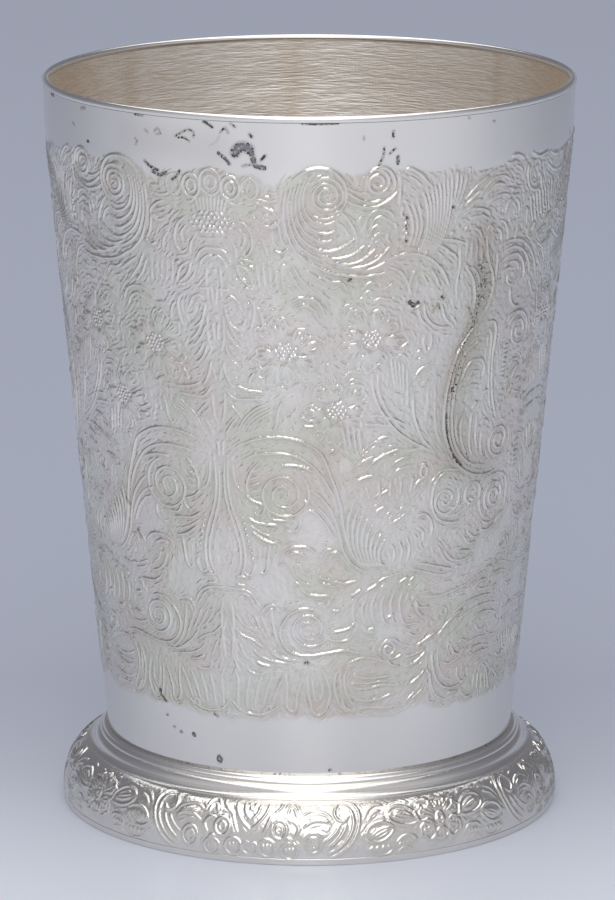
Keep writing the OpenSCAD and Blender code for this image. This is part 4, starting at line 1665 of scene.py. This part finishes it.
def tarnish_and_highlight_group():
    """Tarnish on silver: a thin warm bloom in clouds over the worked ground, darker in the hollows,
    taken off by rubbing on the crests, which also take a painted highlight, and near black with a
    brown haze where a stain mark is. Gives the colour and a dullness from 0 to 1."""
    tree, given, out = new_group(
        "silver tarnish and highlight",
        [("Place", VECTOR), ("Silver", COLOUR), ("Bloom", COLOUR), ("Tarnish", COLOUR),
         ("Hollow", NUMBER), ("Worked", NUMBER), ("Stain", NUMBER), ("Amount", NUMBER),
         ("Crest", NUMBER)],
        [("Color", COLOUR), ("Dullness", NUMBER)])
    cloud = spread(tree, noise(tree, given["Place"], CLOUDS, 4.0), 0.36, 0.66)
    patch = spread(tree, noise(tree, given["Place"], PATCHES, 3.0), 0.35, 0.68)
    bloom = calc(tree, "MULTIPLY", given["Worked"], scaled(tree, cloud, 0.55, 0.45))
    depth = calc(tree, "MULTIPLY", given["Hollow"], scaled(tree, patch, 0.6, 0.4))
    depth = calc(tree, "MULTIPLY", depth, given["Amount"], True)
    tone = blend(tree, bloom, given["Silver"], given["Bloom"])
    tone = blend(tree, depth, tone, given["Tarnish"])
    # Painted highlight on the crests and beads, along with the rubbing off of their tarnish
    rub_and_highlight = calc(tree, "MULTIPLY", given["Crest"], 0.7)
    tone = blend(tree, rub_and_highlight, tone, rgba(RUBBED_AND_HIGHLIGHT))
    fleck = calc(tree, "SUBTRACT", noise(tree, given["Place"], FLECKS, 4.0), 0.5)
    ragged = calc(tree, "MULTIPLY", given["Stain"], scaled(tree, fleck, 5.0, 1.0))
    black = spread(tree, ragged, 0.46, 0.63)
    haze = calc(tree, "MINIMUM", calc(tree, "MULTIPLY", given["Stain"], 0.95), 0.42)
    mask = calc(tree, "MAXIMUM", black, haze)
    pale = spread(tree, calc(tree, "ADD", given["Stain"], fleck), 0.62, 0.98)
    crust = blend(tree, pale, rgba(STAIN_DARK), rgba(STAIN_PALE))
    crust = blend(tree, spread(tree, black, 0.1, 0.45), rgba(STAIN_BROWN), crust)
    tone = blend(tree, mask, tone, crust)
    put(tree, out["Color"], tone)
    dull = calc(tree, "ADD", calc(tree, "MULTIPLY", depth, 0.5),
                calc(tree, "MULTIPLY", mask, 0.8))
    dull = calc(tree, "ADD", dull, calc(tree, "MULTIPLY", cloud, 0.18), True)
    put(tree, out["Dullness"], dull)
    return tree


def turned_marks_group():
    """Fine lines left by polishing on a lathe: noise drawn out along the ring, over the height plus
    the distance from the axis, so that it also makes rings on a flat disc. Shortness cuts the lines
    into short strokes. Gives the marks' height and the share of dark streaks."""
    tree, given, out = new_group(
        "turned marks", [("Place", VECTOR), ("Fineness", NUMBER), ("Shortness", NUMBER)],
        [("Height", NUMBER), ("Streak", NUMBER)])
    x, y, z = axes(tree, given["Place"])
    squares = [calc(tree, "MULTIPLY", side, side) for side in (x, y)]
    far = calc(tree, "SQRT", calc(tree, "ADD", *squares), 0.0)
    across = calc(tree, "MULTIPLY", calc(tree, "ADD", far, z), given["Fineness"])
    join = node(tree, "ShaderNodeCombineXYZ")
    put(tree, join.inputs[0], calc(tree, "MULTIPLY", x, given["Shortness"]))
    put(tree, join.inputs[1], calc(tree, "MULTIPLY", y, given["Shortness"]))
    put(tree, join.inputs[2], across)
    fine = noise(tree, join.outputs[0], FINE_MARKS, 3.0)
    broad = noise(tree, join.outputs[0], BROAD_MARKS, 2.0)
    both = calc(tree, "ADD", fine, broad)
    put(tree, out["Height"], both)
    put(tree, out["Streak"], spread(tree, both, 0.82, 1.2))
    return tree


# Turns of the three sets of hair scratches in radians, and cells per metre across and along them
HAIR_TURNS = [(0.3, 0.5, 0.2), (1.2, -0.4, 0.9), (-0.7, 0.8, -1.1)]
HAIR_CELLS = (2600.0, 90.0, 90.0)


def scratches_group():
    """Stray hair scratches from use and polishing: three noises drawn out in different directions,
    kept only near their middle value, which makes thin separate lines."""
    tree, given, out = new_group("hair scratches", [("Place", VECTOR)], [("Height", NUMBER)])
    total = None
    for turn in HAIR_TURNS:
        lines = noise(tree, given["Place"], 1.0, 1.0, HAIR_CELLS, turn)
        gap = calc(tree, "ABSOLUTE", calc(tree, "SUBTRACT", lines, 0.5), 0.0)
        hair = spread(tree, gap, 0.0, 0.035, 1.0, 0.0)
        total = hair if total is None else calc(tree, "MAXIMUM", total, hair)
    put(tree, out["Height"], calc(tree, "MULTIPLY", total, -1.0))
    return tree


def mark(tree, key):
    """Value of a mesh's own mark, 0 where a mesh has none."""
    return node(tree, "ShaderNodeAttribute", attribute_name=key).outputs["Fac"]


def bump(tree, bsdf, height, strength, distance, under=None):
    """Bump from a height in metres, on top of another one."""
    n = node(tree, "ShaderNodeBump")
    n.inputs["Strength"].default_value = strength
    n.inputs["Distance"].default_value = distance
    put(tree, n.inputs["Height"], height)
    if under is not None:
        tree.links.new(under, n.inputs["Normal"])
    tree.links.new(n.outputs[0], bsdf.inputs["Normal"])
    return n.outputs[0]


def rgba(colour, share=1.0):
    """Colour with full alpha, each channel times a share."""
    return (*(c * share for c in colour), 1.0)


def new_metal(name):
    """Empty metal; gives its tree, its shader and the place on the cup."""
    _, tree, bsdf = new_material(name)
    bsdf.inputs["Metallic"].default_value = 1.0
    return tree, bsdf, node(tree, "ShaderNodeTexCoord").outputs["Object"]


def dress_metal(tree, bsdf, tone, rough):
    """Link a metal's colour and roughness."""
    tree.links.new(tone, bsdf.inputs["Base Color"])
    tree.links.new(rough, bsdf.inputs["Roughness"])


def polished_silver(finish, tarnish, lathe, hair):
    """Hand-polished silver: bright metal, warm bloom over the ornament, tarnish in its hollows, and
    a painted highlight on the crests and beads.
    """
    tree, bsdf, place = new_metal("polished silver")
    pink, green = (rgba([a * b for a, b in zip(finish.silver, tint)]) for tint in BLOOM_TINTS)
    tint = spread(tree, noise(tree, place, TINTS, 2.0), 0.42, 0.58)
    tone = use_group(
        tree, tarnish, Place=place, Silver=rgba(finish.silver), Tarnish=rgba(finish.tarnish),
        Bloom=blend(tree, tint, pink, green), Amount=0.38, Hollow=mark(tree, "hollow"),
        Worked=mark(tree, "worked"), Stain=mark(tree, "stain"), Crest=mark(tree, "crest"))
    dress_metal(tree, bsdf, tone["Color"], scaled(tree, tone["Dullness"], 0.35, 0.13))
    rings = use_group(tree, lathe, Place=place, Fineness=60.0, Shortness=1.0)
    hairs = use_group(tree, hair, Place=place)
    first = bump(tree, bsdf, rings["Height"], 0.05, 0.0001)
    bump(tree, bsdf, hairs["Height"], 0.12, 0.00002, first)


def satin_silver(name, finish, lathe, hair, fineness, shortness):
    """Satin silver: scattered light, with marks left by the lathe and bands of a warm, darker tone."""
    tree, bsdf, place = new_metal(name)
    rings = use_group(tree, lathe, Place=place, Fineness=fineness, Shortness=shortness)
    mist = spread(tree, noise(tree, place, MIST, 3.0), 0.3, 0.7)
    tone = blend(tree, mist, rgba(finish.satin), rgba(finish.satin, 0.93))
    tone = blend(tree, rings["Streak"], tone, rgba(STREAK))
    warm = calc(tree, "MULTIPLY", mark(tree, "worked"), 0.8)
    dress_metal(tree, bsdf, blend(tree, warm, tone, rgba(INSIDE_WARM)),
                spread(tree, rings["Streak"], 0.0, 1.0, 0.5, 0.62))
    first = bump(tree, bsdf, rings["Height"], 0.8, 0.00014)
    hairs = use_group(tree, hair, Place=place)
    bump(tree, bsdf, hairs["Height"], 0.3, 0.00003, first)


def dull_solder(finish, tarnish):
    """Silver solder: dull grey-brown metal with small pits and dark specks."""
    tree, bsdf, place = new_metal("silver solder")
    pits = noise(tree, place, PITS, 3.0)
    speck = spread(tree, pits, 0.56, 0.66)
    tone = use_group(tree, tarnish, Place=place, Silver=rgba(finish.solder, 1.35),
                     Bloom=rgba(finish.solder), Tarnish=rgba(finish.tarnish, 0.6), Hollow=speck,
                     Worked=0.7, Stain=0.0, Amount=0.9, Crest=0.0)
    dress_metal(tree, bsdf, tone["Color"], scaled(tree, tone["Dullness"], 0.3, 0.32))
    bump(tree, bsdf, pits, 0.5, 0.0001)


def make_finishes(finish):
    """The four finishes of the cup, which share three node groups."""
    tarnish, lathe, hair = tarnish_and_highlight_group(), turned_marks_group(), scratches_group()
    polished_silver(finish, tarnish, lathe, hair)
    satin_silver("satin silver", finish, lathe, hair, fineness=62.0, shortness=9.0)
    satin_silver("satin underside", finish, lathe, hair, fineness=40.0, shortness=1.0)
    dull_solder(finish, tarnish)


# Stage

def ramp_nodes(tree, value, stops):
    """Colour ramp over a value, from listed stops of (position, colour)."""
    ramp = node(tree, "ShaderNodeValToRGB")
    line = ramp.color_ramp
    while len(line.elements) < len(stops):
        line.elements.new(0.5)
    for e, (at, colour) in zip(line.elements, stops):
        e.position = at
        e.color = (*colour, 1.0)
    tree.links.new(value, ramp.inputs[0])
    return ramp.outputs["Color"]


# Half side of the floor in millimetres, and points along it
FLOOR_HALF = 6000.0
FLOOR_POINTS = 41
# Floor tones along the view, in the middle and at the sides: metres behind the cup's axis, and
# share of the near tone. The sides take over between two distances from the middle. These tones
# are a painted fall-off of the light: bright in front of the cup, painted shade behind it, which
# comes sooner in the middle behind the cup than at the sides.
FLOOR_FROM = -0.5
FLOOR_TO = 1.5
FLOOR_STOPS = [(-0.4, 1.0), (-0.10, 0.9), (-0.045, 0.72), (0.01, 0.30), (0.06, 0.10),
               (0.3, 0.06), (1.0, 0.0)]
FLOOR_SIDE_STOPS = [(-0.5, 1.0), (-0.25, 0.92), (-0.1, 0.70), (0.0, 0.56), (0.12, 0.42),
                    (0.3, 0.2), (0.6, 0.05), (1.0, 0.0)]
FLOOR_ASIDE = (0.07, 0.16)


def floor_tones(tree, way, stops, stage):
    """Floor colour along the view: the far tone plus a share of its step to the near tone."""
    near, far = np.array(stage.floor_near), np.array(stage.floor_far)
    run = FLOOR_TO - FLOOR_FROM
    return ramp_nodes(tree, way, [((at - FLOOR_FROM) / run, tuple(far + (near - far) * share))
                                  for at, share in stops])


def make_floor(stage):
    """Pale square floor, whose colour eases from the near tone to the far tone behind the cup: a
    painted fall-off of the light.
    """
    side = np.linspace(-FLOOR_HALF, FLOOR_HALF, FLOOR_POINTS)
    points = np.stack(np.meshgrid(side, side, [0.0]), -1).reshape(-1, 3)
    me = make_mesh("floor", points, [quads(FLOOR_POINTS, FLOOR_POINTS, False)])
    floor = new_object("floor", me)
    m, tree, bsdf = new_material("pale floor")
    x, y, _ = axes(tree, node(tree, "ShaderNodeTexCoord").outputs["Object"])
    way = spread(tree, y, FLOOR_FROM, FLOOR_TO, kind="LINEAR")
    middle, sides = (floor_tones(tree, way, stops, stage)
                     for stops in (FLOOR_STOPS, FLOOR_SIDE_STOPS))
    aside = spread(tree, calc(tree, "ABSOLUTE", x, 0.0), *FLOOR_ASIDE)
    tree.links.new(blend(tree, aside, middle, sides), bsdf.inputs["Base Color"])
    bsdf.inputs["Roughness"].default_value = 0.28
    bsdf.inputs["Specular IOR Level"].default_value = 0.3
    me.materials.append(m)


# Softbox: its middle and its two sides in metres
SOFTBOX_PLACE = (-0.03, -1.7, 1.5)
SOFTBOX_SIZE = (1.6, 7.0)
# Camera: lens and sensor width in millimetres, sideways shift, place in metres, and tilt down in
# radians
LENS = 198.1
SENSOR = 36.0
CAMERA_SHIFT = -0.002
CAMERA_PLACE = (0.0, -0.7342, 0.2275)
CAMERA_TILT = 0.232


def make_softbox(power):
    """Rectangular area light that faces straight down."""
    light = bpy.data.lights.new("softbox over the cup", "AREA")
    light.shape = "RECTANGLE"
    light.size, light.size_y = SOFTBOX_SIZE
    light.energy = power
    new_object("softbox over the cup", light).location = SOFTBOX_PLACE


def make_camera(scene):
    """Camera in front of the cup, a little above it, that looks along +Y and down."""
    camera = bpy.data.cameras.new("camera")
    camera.lens = LENS
    camera.sensor_width = SENSOR
    camera.sensor_fit = "AUTO"
    camera.shift_x = CAMERA_SHIFT
    scene.camera = new_object("camera", camera)
    scene.camera.location = CAMERA_PLACE
    scene.camera.rotation_euler = (math.pi / 2 - CAMERA_TILT, 0.0, 0.0)


# Room tones from in front of the cup to behind it, the same for the horizon, and how the room takes
# over from the horizon with height.
ROOM_AROUND = [(0.0, (0.66, 0.66, 0.68)), (0.2, (0.62, 0.62, 0.65)), (0.38, (0.48, 0.48, 0.51)),
               (0.5, (0.30, 0.31, 0.34)), (0.8, (0.20, 0.20, 0.23)), (1.0, (0.20, 0.20, 0.22))]
HORIZON_AROUND = [(0.0, (0.66, 0.66, 0.68)), (0.3, (0.56, 0.57, 0.60)), (0.5, (0.36, 0.38, 0.44)),
                  (1.0, (0.36, 0.38, 0.44))]
ROOM_HORIZON = [(0.08, (0.0, 0.0, 0.0)), (0.16, (1.0, 1.0, 1.0))]


def make_room():
    """Grey room: lighter in front of the cup than behind it, and pale along the horizon."""
    world = bpy.data.worlds.new("soft grey room")
    bpy.context.scene.world = world
    world.use_nodes = True
    tree = world.node_tree
    back = tree.nodes["Background"]
    _, y, z = axes(tree, node(tree, "ShaderNodeTexCoord").outputs["Generated"])
    way = spread(tree, y, -1.0, 1.0, kind="LINEAR")
    around, low = (ramp_nodes(tree, way, stops) for stops in (ROOM_AROUND, HORIZON_AROUND))
    rise = ramp_nodes(tree, z, ROOM_HORIZON)
    tree.links.new(blend(tree, rise, low, around), back.inputs[0])


# Operators

class CUP_OT_wall(bpy.types.Operator):
    """Make the chased wall"""

    bl_idname = "julep_cup.wall"
    bl_label = "Wall"

    def execute(self, context):
        make_finishes(context.scene.julep_finish)
        finishes = bpy.data.materials
        build_wall(context.scene.julep_shape,
                   [finishes["polished silver"], finishes["satin silver"]])
        return {"FINISHED"}


# CAD nodes that are shown as they are, and their finishes.
CARRIED_OVER = {"bottom_disc": "satin silver", "bottom_solder": "silver solder",
                "collar_solder": "silver solder", "foot_solder": "silver solder"}


class CUP_OT_foot(bpy.types.Operator):
    """Make the rim wire, the collar, the foot band and the base wire"""

    bl_idname = "julep_cup.foot"
    bl_label = "Rim and foot"

    def execute(self, context):
        shape = context.scene.julep_shape
        polished = bpy.data.materials["polished silver"]
        turned_piece("mouth_wire", rim_section(), [polished], ["rim_wire"])
        turned_piece("reeded_collar", collar_section(shape), [polished], ["foot_collar"])
        build_band(shape, [polished, bpy.data.materials["satin underside"]])
        turned_piece("foot_wire", base_section(), [polished], ["base_wire"])
        for name, finish in CARRIED_OVER.items():
            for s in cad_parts[name].material_slots:
                s.material = bpy.data.materials[finish]
        return {"FINISHED"}


class CUP_OT_stage(bpy.types.Operator):
    """Make the floor, the softbox, the room and the camera"""

    bl_idname = "julep_cup.stage"
    bl_label = "Stage"

    def execute(self, context):
        stage = context.scene.julep_stage
        make_floor(stage)
        make_softbox(stage.key_power)
        make_room()
        make_camera(context.scene)
        context.scene.view_settings.view_transform = "Standard"
        return {"FINISHED"}


class CUP_PT_panel(bpy.types.Panel):
    """Julep cup tools"""

    bl_label = "Julep Cup"
    bl_idname = "CUP_PT_panel"
    bl_space_type = "VIEW_3D"
    bl_region_type = "UI"
    bl_category = "Julep Cup"

    def draw(self, context):
        for operator in OPERATORS:
            self.layout.operator(operator.bl_idname)


GROUPS = {"julep_shape": CupShape, "julep_finish": CupFinish, "julep_stage": CupStage}
OPERATORS = [CUP_OT_wall, CUP_OT_foot, CUP_OT_stage]


def register():
    """Register the settings, the operators and the panel."""
    for key, group in GROUPS.items():
        bpy.utils.register_class(group)
        setattr(bpy.types.Scene, key, PointerProperty(type=group))
    for kind in [*OPERATORS, CUP_PT_panel]:
        bpy.utils.register_class(kind)


def unregister():
    """Take them out again, last one first."""
    for kind in [CUP_PT_panel, *OPERATORS[::-1]]:
        bpy.utils.unregister_class(kind)
    for key, group in GROUPS.items():
        delattr(bpy.types.Scene, key)
        bpy.utils.unregister_class(group)


def main():
    """Make every piece in order."""
    register()
    bpy.ops.julep_cup.wall()
    bpy.ops.julep_cup.foot()
    bpy.ops.julep_cup.stage()


if __name__ == "__main__":
    main()
